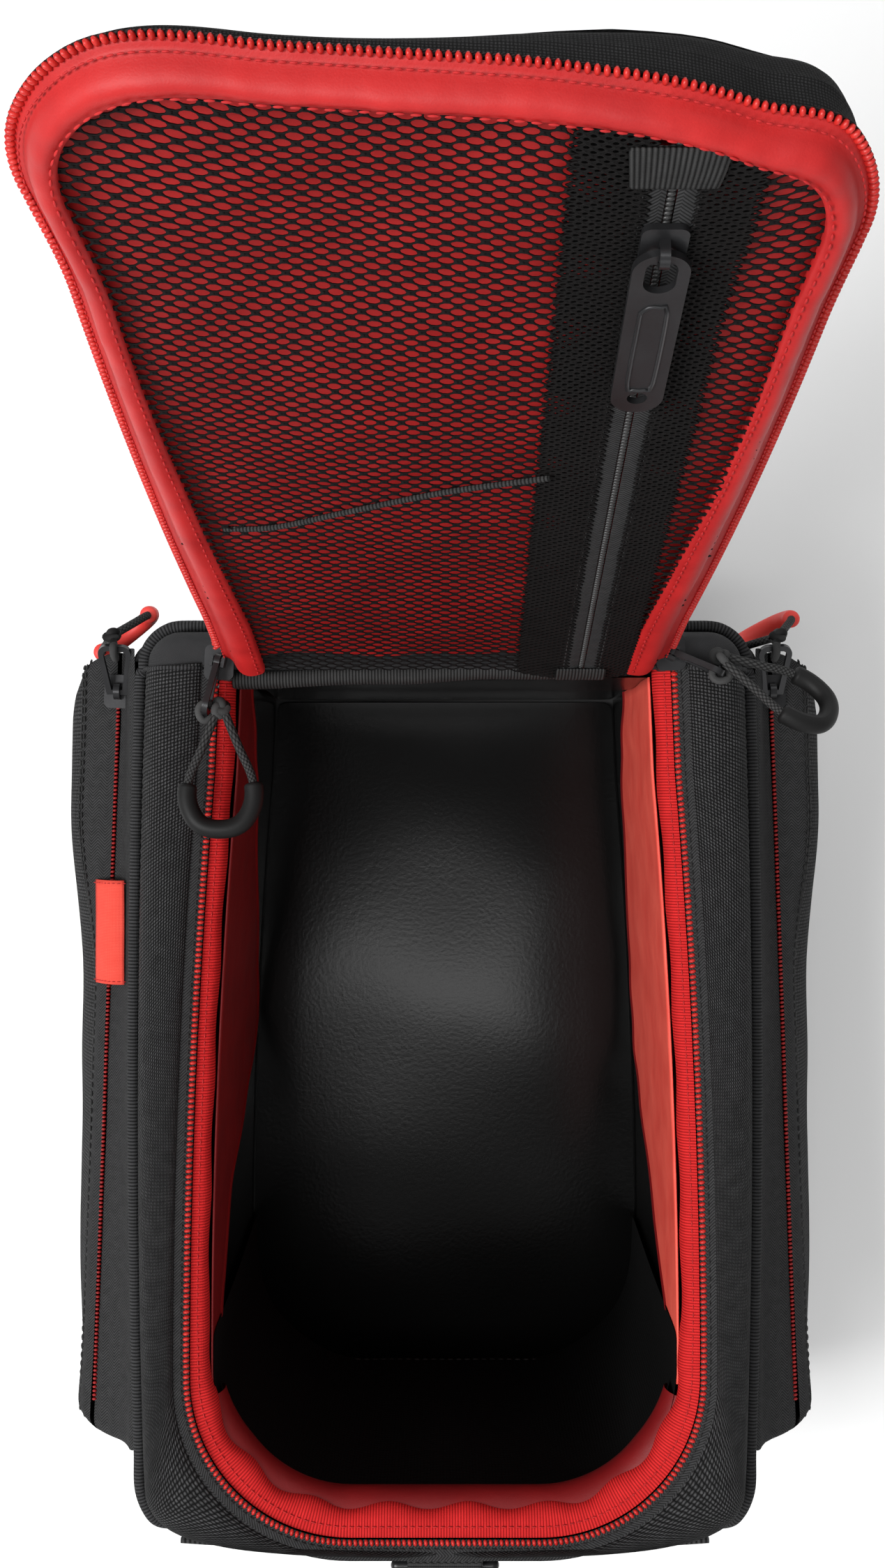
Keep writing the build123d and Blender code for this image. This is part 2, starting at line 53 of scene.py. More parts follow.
SIDES = (("left", -1), ("right", 1))

# Main box of the bag
RIM_Z = 170.0
SEAM_Z = 156.0  # seam between the padded rim and the walls
BODY_HALF = 98.5
BODY_BOW = 3.0  # how much narrower the corners are than the middle
BODY_END_Y = 146.0
BODY_FRONT_Y = -150.0
FRONT_BOW = 4.0
FRONT_CORNER_R = 10.0
REAR_CORNER_R = 11.0
FRONT_TUCK = 6.5  # how far the rim is drawn in at the front, above the strap
TUCK_Y = (-118.0, -140.0)  # where that begins, and where it is full
REAR_SEAM_Y = 133.0  # woven cloth ends and the smoother stretch cloth begins, painted lighter grey for the light it catches

# U-shaped opening
HINGE_Y = 135.0
CORNER_X = 30.0
CORNER_Y = -90.0
CORNER_R = 50.0
SIDE_SLANT = math.radians(2.4)
ZIP_BOW = 2.0  # sideways bow of the zip half way along
BOW_MIDDLE_Y = 5.0
BOW_REACH = 95.0  # how far the bow goes from its middle
RIM_EDGE = 4.9  # the padded rim's inner edge, outside the opening's outline
SIDE_STEPS, CORNER_STEPS, FRONT_STEPS = 64, 30, 12  # points on each part of an outline's half
REAR_CORNER_STEPS, REAR_STEPS = 16, 24

# Lid
LID_OPEN = math.radians(-109.0)
LID_TWIST = 6.0  # how far the lid's free corners are twisted out of its plane
TWIST_X = 80.0  # where the twist is that large
LID_THIN = 0.65  # thickness of the lid's edge, as a share of the CAD model's
LID_SWELL = 1.3  # what its right free corner has on top of that
LID_CURL = 7.6  # how much shorter its curled free end looks
CORNER_OUT = {-1: 5.0, 1: 2.2}  # how far its left and right free corners stand out
LID_DEPTH = HINGE_Y - (CORNER_Y - CORNER_R)
MESH_ZIP_X = 41.5
MESH_W = -7.4  # face of the mesh pocket's zip tape, from the plane of the main zip
MESH_BAND = (23.0, 56.0)
TAPE_HALF = 6.8

# Side pockets
POCKET_FRONT = -131.0
POCKET_REAR = 136.0
POCKET_CORNER_R = 24.0
ZIP_FRONT = (116.0, -114.0)
ZIP_REAR = (107.4, 134.0)

# Main zip's coil
TOOTH_PITCH = 1.7
TOOTH_SIZE = (1.25, 2.3, 1.9)  # along the coil, across it, high
TOOTH_OFFSET = 1.3  # the body's coil outside the opening's outline, and the lid's coil inside it
TOOTH_LIFT = 0.4
TOOTH_LEAN = 0.18

# Cords and moulded grips of the pulls
CORD_D = 2.7
GRIP_D = 6.0
GRIP_START = -23.4  # where the grip begins on the cord's route


# ---------------------------------------------------------------- materials

def shader_node(tree, kind, inputs=(), **settings):
    """A node with its settings and inputs; an input that is a socket is linked, a number is set."""
    made = tree.nodes.new(kind)
    for key, value in settings.items():
        setattr(made, key, value)
    for key, value in dict(inputs).items():
        if isinstance(value, bpy.types.NodeSocket):
            tree.links.new(value, made.inputs[key])
        else:
            made.inputs[key].default_value = value
    return made


def calc(tree, operation, first, second=0.0, third=0.0):
    """What a maths node makes of its inputs."""
    made = shader_node(tree, "ShaderNodeMath", {0: first, 1: second, 2: third}, operation=operation)
    return made.outputs[0]


def new_material(name, roughness=0.8, metallic=0.0, specular=0.5):
    """An empty Principled material: (material, its tree, its shader)."""
    material = bpy.data.materials.new(name)
    material.use_nodes = True
    shader = material.node_tree.nodes["Principled BSDF"]
    shader.inputs["Roughness"].default_value = roughness
    shader.inputs["Metallic"].default_value = metallic
    shader.inputs["Specular IOR Level"].default_value = specular
    return material, material.node_tree, shader


def coordinates(tree, kind="UV"):
    """Two coordinates in metres: the surface's own, or the object's x and y."""
    place = shader_node(tree, "ShaderNodeTexCoord").outputs[kind]
    split = shader_node(tree, "ShaderNodeSeparateXYZ", {0: place})
    return split.outputs[0], split.outputs[1]


def noise_value(tree, scale, detail=2.0):
    """Cloudy unevenness, with about scale lumps in a metre."""
    place = shader_node(tree, "ShaderNodeTexCoord").outputs["Object"]
    inputs = {"Vector": place, "Scale": scale, "Detail": detail}
    return shader_node(tree, "ShaderNodeTexNoise", inputs).outputs["Fac"]


def colour_by(tree, shader, factor, dark, light):
    mix = shader_node(tree, "ShaderNodeMix", {"Factor": factor}, data_type="RGBA")
    mix.inputs["A"].default_value = (*dark, 1)
    mix.inputs["B"].default_value = (*light, 1)
    tree.links.new(mix.outputs["Result"], shader.inputs["Base Color"])


def bump_by(tree, shader, height, distance, strength=1.0):
    inputs = {"Height": height, "Distance": distance, "Strength": strength}
    made = shader_node(tree, "ShaderNodeBump", inputs)
    tree.links.new(made.outputs["Normal"], shader.inputs["Normal"])


def wave(tree, coordinate, pitch):
    return calc(tree, "SINE", calc(tree, "MULTIPLY", coordinate, math.pi / pitch))


def thread_wave(tree, coordinate, pitch):
    """Rounded threads side by side: 0 between two threads and 1 on top of one."""
    return calc(tree, "ABSOLUTE", wave(tree, coordinate, pitch))


def blotched(tree, tone, scale, detail, contrast, least):
    """The tone, made lighter and darker in blotches."""
    blotches = calc(tree, "MULTIPLY_ADD", noise_value(tree, scale, detail), contrast, least)
    return calc(tree, "MULTIPLY", tone, blotches)


def weave(name, dark, light, cell, depth):
    """Plain weave: each thread goes over and under the ones across it."""
    material, tree, shader = new_material(name, 0.85, specular=0.12)
    u, v = coordinates(tree)
    wander = calc(tree, "MULTIPLY", calc(tree, "SUBTRACT", noise_value(tree, 900, 1), 0.5), cell * 0.35)
    u, v = calc(tree, "ADD", u, wander), calc(tree, "SUBTRACT", v, wander)
    across, along = thread_wave(tree, u, cell), thread_wave(tree, v, cell)
    over = calc(tree, "GREATER_THAN", calc(tree, "MULTIPLY", wave(tree, u, cell), wave(tree, v, cell)), 0.0)
    warp = calc(tree, "MULTIPLY", across, calc(tree, "MULTIPLY_ADD", along, 0.6, 0.4))
    weft = calc(tree, "MULTIPLY", along, calc(tree, "MULTIPLY_ADD", across, 0.6, 0.4))
    pick = shader_node(tree, "ShaderNodeMix", {"Factor": over, "A": weft, "B": warp}, data_type="FLOAT")
    height = pick.outputs["Result"]
    tone = calc(tree, "POWER", height, 2.2)
    colour_by(tree, shader, blotched(tree, tone, 260, 3, 0.9, 0.35), dark, light)
    bump_by(tree, shader, height, depth, 0.9)
    return material


def ribbed(name, dark, light, pitch, depth):
    """Grosgrain or webbing: ribs across the length."""
    material, tree, shader = new_material(name, 0.75, specular=0.14)
    u, v = coordinates(tree)
    ribs = thread_wave(tree, u, pitch)
    fine = thread_wave(tree, v, pitch * 0.45)
    height = calc(tree, "MULTIPLY_ADD", fine, 0.25, ribs)
    tone = calc(tree, "POWER", ribs, 1.5)
    colour_by(tree, shader, blotched(tree, tone, 300, 3, 0.7, 0.55), dark, light)
    bump_by(tree, shader, height, depth, 0.8)
    return material


def herringbone(name, dark, light, pitch, column):
    """Zip tape: slanted threads that turn back at each column."""
    material, tree, shader = new_material(name, 0.8, specular=0.14)
    u, v = coordinates(tree)
    zigzag = calc(tree, "PINGPONG", v, column)
    threads = thread_wave(tree, calc(tree, "ADD", u, zigzag), pitch)
    colour_by(tree, shader, blotched(tree, threads, 500, 2, 0.8, 0.5), dark, light)
    bump_by(tree, shader, threads, 0.00012, 0.7)
    return material


def satin(name, dark, light):
    """Smooth lining cloth with soft puckers and a very fine weave."""
    material, tree, shader = new_material(name, 0.55, specular=0.35)
    folds = noise_value(tree, 60, 3)
    threads = noise_value(tree, 2500, 1)
    colour_by(tree, shader, calc(tree, "MULTIPLY_ADD", threads, 0.25, folds), dark, light)
    height = calc(tree, "MULTIPLY_ADD", threads, 0.06, folds)
    bump_by(tree, shader, height, 0.0012, 0.5)
    return material


def moulded(name, dark, light, roughness, specular=0.35, metallic=0.0, grain=1200):
    """Moulded plastic, rubber or coated metal with a fine grain and uneven gloss."""
    material, tree, shader = new_material(name, roughness, metallic, specular=specular)
    grains = noise_value(tree, grain, 2)
    clouds = noise_value(tree, 90, 3)
    colour_by(tree, shader, clouds, dark, light)
    low = calc(tree, "MULTIPLY_ADD", clouds, 0.25, roughness - 0.12)
    tree.links.new(low, shader.inputs["Roughness"])
    bump_by(tree, shader, grains, 0.00003, 0.6)
    return material


def braid(name, dark, light):
    """Braided cord: two sets of strands that cross on a slant."""
    material, tree, shader = new_material(name, 0.8, specular=0.14)
    length, girth = coordinates(tree)
    turns = calc(tree, "MULTIPLY", girth, 6.0)
    run = calc(tree, "MULTIPLY", length, 52.0)
    one = thread_wave(tree, calc(tree, "ADD", run, turns), 1.0)
    two = thread_wave(tree, calc(tree, "SUBTRACT", run, turns), 1.0)
    height = calc(tree, "MAXIMUM", one, two)
    colour_by(tree, shader, calc(tree, "POWER", calc(tree, "MULTIPLY", one, two), 0.7), dark, light)
    bump_by(tree, shader, height, 0.0003, 0.8)
    return material


def dotted_rubber(name, dark, light, pitch):
    """Anti-slip sheet under the bag, with raised dots."""
    material, tree, shader = new_material(name, 0.7)
    across, along = (thread_wave(tree, c, pitch) for c in coordinates(tree, "Object"))
    dots = calc(tree, "GREATER_THAN", calc(tree, "MULTIPLY", across, along), 0.55)
    colour_by(tree, shader, dots, dark, light)
    bump_by(tree, shader, dots, 0.0005, 0.8)
    return material


def coated(name, dark, light):
    """Coated liner cloth, nearly black, with a soft shine."""
    material, tree, shader = new_material(name, 0.2, specular=0.14)
    colour_by(tree, shader, noise_value(tree, 1500, 1), dark, light)
    bump_by(tree, shader, noise_value(tree, 700), 0.00006, 0.5)
    return material


# Each finish, under the name of its material slot or of its own: its function, its
# darkest and lightest colour, and the function's other settings
FINISHES = {
    "black_gloss_liner": (coated, (0.0008, 0.0008, 0.0008), (0.0018, 0.0017, 0.0016)),
    "black_weave": (weave, (0.003, 0.003, 0.003), (0.085, 0.085, 0.087), 0.00115, 0.0004),
    # Smoother stretch cloth, partly real: the finer weave is its own, its lighter grey is painted light, for
    # the light the rear slope catches from above and behind
    "grey_stretch": (weave, (0.022, 0.022, 0.023), (0.050, 0.050, 0.052), 0.0004, 0.00005),
    "black_piping": (ribbed, (0.006, 0.006, 0.006), (0.045, 0.045, 0.047), 0.0011, 0.0003),
    "edge_band": (weave, (0.006, 0.006, 0.006), (0.034, 0.034, 0.035), 0.0007, 0.0001),
    "black_liner_cloth": (weave, (0.001, 0.001, 0.001), (0.005, 0.005, 0.005), 0.0011, 0.0002),
    "red_lining": (satin, (0.26, 0.004, 0.006), (0.52, 0.016, 0.015)),
    # Painted light: the lining cloth's red made lighter, a lit copy for the key light falling on the right
    # side lining
    "red_side_cloth": (satin, (0.60, 0.030, 0.022), (0.88, 0.13, 0.090)),
    # Darker red: the cloth of the hems and the front flange, and painted shade, a shaded copy of the lining
    # cloth on the left side lining
    "dark_red_lining": (satin, (0.10, 0.002, 0.003), (0.20, 0.004, 0.005)),
    "red_binding": (ribbed, (0.28, 0.005, 0.006), (0.66, 0.022, 0.022), 0.0009, 0.0002),
    "black_binding": (ribbed, (0.004, 0.004, 0.004), (0.045, 0.045, 0.045), 0.0010, 0.00025),
    "red_coil": (moulded, (0.38, 0.008, 0.008), (0.60, 0.030, 0.022), 0.35),
    "dark_red_coil": (moulded, (0.16, 0.004, 0.004), (0.36, 0.012, 0.012), 0.4),
    "black_coil": (moulded, (0.012, 0.012, 0.012), (0.035, 0.035, 0.035), 0.35),
    "black_tape": (herringbone, (0.003, 0.003, 0.003), (0.042, 0.042, 0.043), 0.0010, 0.0024),
    "black_mesh": (moulded, (0.002, 0.002, 0.002), (0.008, 0.007, 0.007), 0.75, 0.12, 0.0, 900),
    "black_webbing": (ribbed, (0.004, 0.004, 0.004), (0.045, 0.045, 0.046), 0.0016, 0.0004),
    "red_tag": (weave, (0.62, 0.05, 0.035), (0.88, 0.13, 0.09), 0.0005, 0.00005),
    "black_plastic": (moulded, (0.006, 0.006, 0.006), (0.014, 0.014, 0.015), 0.3),
    "dark_metal": (moulded, (0.018, 0.018, 0.019), (0.035, 0.035, 0.037), 0.34, 0.35, 0.5),
    "black_cord": (braid, (0.004, 0.004, 0.004), (0.055, 0.055, 0.055)),
    "black_rubber": (moulded, (0.005, 0.005, 0.005), (0.009, 0.009, 0.009), 0.55, 0.2),
    "red_rubber": (moulded, (0.62, 0.035, 0.03), (0.78, 0.07, 0.055), 0.5),
    "stitch_black": (moulded, (0.006, 0.006, 0.006), (0.04, 0.04, 0.04), 0.7, 0.15),
    "stitch_red": (moulded, (0.30, 0.006, 0.008), (0.55, 0.02, 0.02), 0.7),
    "grip_fabric": (dotted_rubber, (0.012, 0.012, 0.013), (0.035, 0.035, 0.037), 0.005),
    "board_plastic": (moulded, (0.012, 0.012, 0.012), (0.03, 0.03, 0.03), 0.6),
}
MATERIALS = {name: make(name, *settings) for name, (make, *settings) in FINISHES.items()}


# ---------------------------------------------------------------- mesh tools

def place_piece(obj, material, body, replaces=()):
    """Gives a finished object its material and its body, and hides the CAD nodes it replaces."""
    obj.data.materials.append(MATERIALS[material])
    if replaces:
        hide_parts(*replaces)
    if body:
        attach(obj, body)
    return obj


def steps(low, high, count):
    """Evenly spaced values, both ends among them."""
    return [low + (high - low) * i / (count - 1) for i in range(count)]


def mesh_object(name, points, faces, uvs=None, smooth=True):
    """A mesh from points in millimetres; uvs has one pair in millimetres for each point."""
    mesh = bpy.data.meshes.new(name)
    mesh.from_pydata([[c * MM for c in p] for p in points], [], faces)
    mesh.polygons.foreach_set("use_smooth", [smooth] * len(mesh.polygons))
    layer = mesh.uv_layers.new(name="UVMap")
    uvs = uvs or [(p[0], p[1]) for p in points]
    corners = [c * MM for loop in mesh.loops for c in uvs[loop.vertex_index]]
    layer.data.foreach_set("uv", corners)
    mesh.update()
    obj = bpy.data.objects.new(name, mesh)
    bpy.context.scene.collection.objects.link(obj)
    return obj


def running_lengths(points):
    lengths = [0.0]
    for before, here in zip(points, points[1:]):
        lengths.append(lengths[-1] + (Vector(here) - Vector(before)).length)
    return lengths


def sheet_mesh(name, rows, flip=False):
    """A surface through rows of points. Its coordinates are the lengths along and across it."""
    count = len(rows[0])
    along = running_lengths(rows[len(rows) // 2])
    across = [running_lengths([row[i] for row in rows]) for i in range(count)]
    points = [p for row in rows for p in row]
    uvs = [(along[i], across[i][j]) for j in range(len(rows)) for i in range(count)]
    faces = []
    for j in range(len(rows) - 1):
        for i in range(count - 1):
            a = j * count + i
            face = (a, a + 1, a + count + 1, a + count)
            faces.append(face[::-1] if flip else face)
    return mesh_object(name, points, faces, uvs)


def cloth(name, rows, material, body="bag", replaces=(), flip=False, soft=True):
    """A piece of cloth through rows of points."""
    piece = sheet_mesh(name, rows, flip)
    if soft:
        soften(piece)
    return place_piece(piece, material, body, replaces=replaces)


def thicken(obj, thickness, offset=-1.0):
    """Gives a surface the thickness of its cloth, in millimetres."""
    made = obj.modifiers.new("thickness", "SOLIDIFY")
    made.thickness = thickness * MM
    made.offset = offset
    return obj


def soften(obj):
    made = obj.modifiers.new("smooth", "SUBSURF")
    made.levels = made.render_levels = 1
    return obj


def curve_through(points, step):
    """Points about step apart on a smooth curve through the given ones."""
    points = [Vector(p) for p in points]
    padded = [2 * points[0] - points[1], *points, 2 * points[-1] - points[-2]]
    found = [points[0]]
    for a, b, c, d in zip(padded, padded[1:], padded[2:], padded[3:]):
        count = max(1, round((c - b).length / step))
        for i in range(1, count + 1):
            t = i / count
            square = (2 * a - 5 * b + 4 * c - d) * t * t
            cube = (3 * b - a - 3 * c + d) * t**3
            found.append(0.5 * (2 * b + (c - a) * t + square + cube))
    return found


def directions(points):
    """The direction of travel at each point of a path."""
    points = [Vector(p) for p in points]
    ends = zip([points[0], *points[:-1]], [*points[1:], points[-1]])
    return [(after - before).normalized() for before, after in ends]


def tube_mesh(name, points, radius, sides=12, closed=False):
    """A round tube along a path, with low cones on its ends unless it is closed."""
    points = [Vector(p) for p in points]
    tangents = directions(points)
    if closed:
        tangents[0] = tangents[-1] = (points[1] - points[-2]).normalized()
    side = tangents[0].orthogonal().normalized()
    lengths = running_lengths(points)
    verts, uvs = [], []
    for point, tangent, length in zip(points, tangents, lengths):
        side = (side - tangent * side.dot(tangent)).normalized()
        other = tangent.cross(side)
        for k in range(sides + 1):
            turn = 2 * math.pi * k / sides
            verts.append(point + radius * (math.cos(turn) * side + math.sin(turn) * other))
            uvs.append((length, radius * turn))
    ring = sides + 1
    faces = [
        (j * ring + k, j * ring + k + 1, (j + 1) * ring + k + 1, (j + 1) * ring + k)
        for j in range(len(points) - 1)
        for k in range(sides)
    ]
    if not closed:
        for start, tip, out in ((0, points[0], -tangents[0]), (len(verts) - ring, points[-1], tangents[-1])):
            verts.append(tip + out * radius * 0.25)
            uvs.append((0, 0))
            last = len(verts) - 1
            for k in range(sides):
                face = (start + k, start + k + 1, last)
                faces.append(face if start else face[::-1])
    return mesh_object(name, verts, faces, uvs)


def walk(points, pitch):
    """Places every pitch along a path: (point, direction)."""
    points = [Vector(p) for p in points]
    lengths = running_lengths(points)
    places, leg = [], 0
    for n in range(int(lengths[-1] / pitch) + 1):
        at = n * pitch
        while leg < len(points) - 2 and lengths[leg + 1] < at:
            leg += 1
        run = lengths[leg + 1] - lengths[leg]
        share = (at - lengths[leg]) / run if run else 0.0
        heading = (points[leg + 1] - points[leg]).normalized()
        places.append((points[leg].lerp(points[leg + 1], share), heading))
    return places


def bead_row(name, places, size, up=(0, 0, 1), sides=8, rings=5, lean=0.0):
    """Small rounded beads at places along a path: zip teeth and stitches.
    size is (along the path, across it, high), and lean turns each bead about up, in radians."""
    verts, faces, uvs = [], [], []
    high = Vector(up).normalized()
    for point, heading in places:
        across = high.cross(heading).normalized()
        ahead = across.cross(high)
        ahead, across = (
            ahead * math.cos(lean) + across * math.sin(lean),
            across * math.cos(lean) - ahead * math.sin(lean),
        )
        base = len(verts)
        for r in range(rings + 1):
            tilt = math.pi * r / rings
            for k in range(sides):
                turn = 2 * math.pi * k / sides
                shape = (math.cos(tilt), math.sin(tilt) * math.cos(turn), math.sin(tilt) * math.sin(turn))
                x, y, z = (share * full / 2 for share, full in zip(shape, size))
                verts.append(point + ahead * x + across * y + high * z)
                uvs.append(shape[:2])
        for r in range(rings):
            for k in range(sides):
                a, b = base + r * sides + k, base + r * sides + (k + 1) % sides
                faces.append((a, b, b + sides, a + sides))
    return mesh_object(name, verts, faces, uvs)


def stitches(name, path, body="bag", red_slot=None, pitch=3.0, size=(2.3, 0.75, 0.6), up=(0, 0, 1)):
    """A row of sewing stitches along a path: black, or red on the cloth of the red slot."""
    obj = bead_row(name, walk(path, pitch), size, up, sides=6, rings=4)
    place_piece(obj, "stitch_red" if red_slot else "stitch_black", body)


def mirrored(points):
    return [(-p[0], *p[1:]) for p in points]


def bumpiness(x, y, z, size, amount):
    """Soft unevenness of cloth, the same on each run."""
    return amount * noise.noise(Vector((x, y, z)) / size)


# ---------------------------------------------------------------- outlines of the bag

def side_x(offset, y):
    """Half width of the opening at y, moved outwards by offset."""
    touch_x = CORNER_X + (CORNER_R + offset) * math.cos(SIDE_SLANT)
    touch_y = CORNER_Y + (CORNER_R + offset) * math.sin(SIDE_SLANT)
    bow = ZIP_BOW * max(0.0, 1 - ((y - BOW_MIDDLE_Y) / BOW_REACH) ** 2)
    return touch_x - (y - touch_y) * math.tan(SIDE_SLANT) + bow


def half_width(offset, y):
    """Half width of the opening's whole outline at y, its front corners too."""
    reach = CORNER_R + offset
    if y > CORNER_Y + reach * math.sin(SIDE_SLANT):
        return side_x(offset, y)
    return CORNER_X + math.sqrt(max(0.0, reach**2 - (y - CORNER_Y) ** 2))


def u_path(offset, back_y=HINGE_Y):
    """The opening's outline from the left rear round the front to the right rear."""
    reach = CORNER_R + offset
    touch_y = CORNER_Y + reach * math.sin(SIDE_SLANT)
    half = []
    for i in range(SIDE_STEPS):
        y = back_y + (touch_y - back_y) * i / SIDE_STEPS
        half.append((-side_x(offset, y), y))
    for i in range(CORNER_STEPS):
        angle = SIDE_SLANT - (math.pi / 2 + SIDE_SLANT) * i / CORNER_STEPS
        half.append((-CORNER_X - reach * math.cos(angle), CORNER_Y + reach * math.sin(angle)))
    half += [(-CORNER_X + CORNER_X * i / FRONT_STEPS, CORNER_Y - reach) for i in range(FRONT_STEPS)]
    return half + [(0.0, CORNER_Y - reach)] + mirrored(half[::-1])


def body_half(y):
    """Half width of the body at y."""
    return BODY_HALF - BODY_BOW * (y / BODY_END_Y) ** 2


def body_front_y(x):
    """Where the body's slightly bowed front is at x."""
    return BODY_FRONT_Y + FRONT_BOW * (x / BODY_HALF) ** 2


def body_u_path(offset=0.0):
    """The body's outline from the left rear round the front, point for point beside u_path."""
    corner_y = body_front_y(BODY_HALF) + FRONT_CORNER_R
    half = []
    for i in range(SIDE_STEPS):
        y = REAR_SEAM_Y + (corner_y - REAR_SEAM_Y) * i / SIDE_STEPS
        half.append((-body_half(y) - offset, y))
    centre_x = body_half(corner_y) - FRONT_CORNER_R
    reach = FRONT_CORNER_R + offset
    for i in range(CORNER_STEPS):
        angle = -math.pi / 2 * i / CORNER_STEPS
        half.append((-centre_x - reach * math.cos(angle), corner_y + reach * math.sin(angle)))
    for i in range(FRONT_STEPS):
        x = centre_x * (1 - i / FRONT_STEPS)
        half.append((-x, body_front_y(x) - offset))
    return half + [(0.0, BODY_FRONT_Y - offset)] + mirrored(half[::-1])


def tucked(points, amount):
    """The body's outline with its front drawn in by the given amount."""
    return [(x, y + amount * eased(-TUCK_Y[0], -TUCK_Y[1], -y)) for x, y in points]


def body_rear_path(offset=0.0):
    """The body's outline behind the seam, from the left round the rear to the right."""
    centre_y = BODY_END_Y - REAR_CORNER_R
    centre_x = body_half(BODY_END_Y) - REAR_CORNER_R
    reach = REAR_CORNER_R + offset
    start = math.asin(min(1.0, (REAR_SEAM_Y - centre_y) / reach))
    half = []
    for i in range(REAR_CORNER_STEPS):
        angle = start + (math.pi / 2 - start) * i / REAR_CORNER_STEPS
        half.append((-centre_x - reach * math.cos(angle), centre_y + reach * math.sin(angle)))
    half += [(-centre_x * (1 - i / REAR_STEPS), BODY_END_Y + offset) for i in range(REAR_STEPS)]
    return half + [(0.0, BODY_END_Y + offset)] + mirrored(half[::-1])


def eased(low, high, value):
    """0 below low and 1 above high, with a smooth change between them."""
    share = max(0.0, min(1.0, (value - low) / (high - low)))
    return share * share * (3 - 2 * share)


def lid_point(x, y, w):
    """Where a point of the closed lid lies now; w is its height above the zip's plane when closed."""
    reach = (HINGE_Y - y) / LID_DEPTH
    if w > 0:
        w *= LID_THIN + LID_SWELL * eased(-25, 72, x) * eased(0.4, 1.0, reach)
    w -= LID_TWIST * reach * x / TWIST_X
    y += curled_end(x) * eased(0.72, 1.0, reach)
    corner = eased(0.7, 0.9, reach) * eased(35, 70, abs(x))
    x += corner * (CORNER_OUT[1] if x > 0 else -CORNER_OUT[-1])
    return unturned_lid_point(x, y, w)


def curled_end(x):
    """How much the lid's free end has curled back and so looks shorter, at x."""
    if x > 0:
        return (LID_CURL + 2.0 * eased(10, 40, x)) * (1 - eased(52, 72, x))
    return LID_CURL * (1 - eased(30, 62, -x))


def unturned_lid_point(x, y, w):
    """The same without the lid's twist, for what sits on the CAD model's own zip."""
    back = y - HINGE_Y
    return (
        x,
        HINGE_Y + back * math.cos(LID_OPEN) - w * math.sin(LID_OPEN),
        RIM_Z + back * math.sin(LID_OPEN) + w * math.cos(LID_OPEN),
    )


LID_OUT = Vector((0, -math.sin(LID_OPEN), math.cos(LID_OPEN)))  # away from the bag's inside


# ---------------------------------------------------------------- body of the bag

# The rim's cross-section: share of the way outwards, and share of the crown above the edge or of
# the drop below it
RIM_PROFILE = ((0.0, -0.03), (0.015, 0.2), (0.06, 0.55), (0.15, 0.82), (0.3, 0.98), (0.45, 1.0),
               (0.6, 0.9), (0.72, 0.62), (0.82, 0.15), (0.9, -0.18), (0.96, -0.55), (1.0, -1.0))
# Heights of the walls' rows, and how far each stands outside the body's outline
WALL_LEVELS = ((SEAM_Z, 0.0), (152, -0.8), (146, 0.2), (128, 0.7), (100, 1.0), (64, 0.9), (30, 0.6),
               (10, 0.4), (4, -0.4), (0.8, -2.4))
REAR_SEAM = ((76, 170.8), (79, 173.4), (84, 174.2), (89, 172.9), (93, 169.2), (95.5, 163), (96.5, 157))
PIPING_CORNER = ((-94.5, -140.8, 152.2), (-89.2, -144.8, 147), (-87.0, -148.8, 134),
                 (-86.0, -149.6, 70), (-86.0, -149.4, 12))


def padded_rows(inner, outer, edge_z, most):
    """Rows of a padded panel between two outlines, crowned by at most the given height."""
    rows = []
    for share, rise in RIM_PROFILE:
        row = []
        for (ax, ay), (bx, by) in zip(inner, outer):
            width = math.hypot(bx - ax, by - ay)
            lift = min(most, 0.24 * width) if rise > 0 else edge_z - SEAM_Z
            x, y = ax + (bx - ax) * share, ay + (by - ay) * share
            z = edge_z + lift * rise + bumpiness(x, y, 0, 26, 0.5) * (1 - abs(1 - 2 * share))
            row.append((x, y, z))
        rows.append(row)
    return rows


def make_rim():
    """The padded panel round the opening, and its continuation behind the hinge in smoother stretch cloth,
    painted lighter grey for the light its rear slope catches.
    """
    rows = padded_rows(u_path(RIM_EDGE), tucked(body_u_path(), FRONT_TUCK), RIM_Z + 0.4, 4.0)
    panel = cloth("rim_panel", rows, "black_weave", replaces=["top_rim"], flip=True)
    outer = body_rear_path()
    half = side_x(RIM_EDGE, REAR_SEAM_Y)
    inner = [(max(-half, min(half, 0.8 * x)), REAR_SEAM_Y) for x, _ in outer]
    inner[0], inner[-1] = (-half, REAR_SEAM_Y), (half, REAR_SEAM_Y)
    rim_rear_piece = cloth("rim_rear", padded_rows(inner, outer, RIM_Z - 1.0, 3.0), "grey_stretch", flip=True)
    for label, sign in SIDES:
        path = curve_through([(sign * x, REAR_SEAM_Y + 0.3, z) for x, z in REAR_SEAM], 1.2)
        place_piece(tube_mesh(f"rear_seam_{label}", path, 0.7, sides=8), "black_piping", "bag")


def wall_rows(path_at):
    """Rows of a wall; the front is drawn in where it meets the rim."""
    return [[(x, y, z) for x, y in tucked(path_at(offset), FRONT_TUCK * eased(138, SEAM_Z, z))]
            for z, offset in WALL_LEVELS]


def make_walls():
    """Front, side and rear walls below the rim, down to the base."""
    replaced = ["front_panel", "side_panel_left", "side_panel_right"]
    cloth("wall_woven", wall_rows(body_u_path), "black_weave", replaces=replaced, flip=True)
    # the rear wall shares the stretch cloth, whose lighter grey is painted light
    cloth("wall_rear", wall_rows(body_rear_path), "grey_stretch", replaces=["rear_panel"], flip=True)


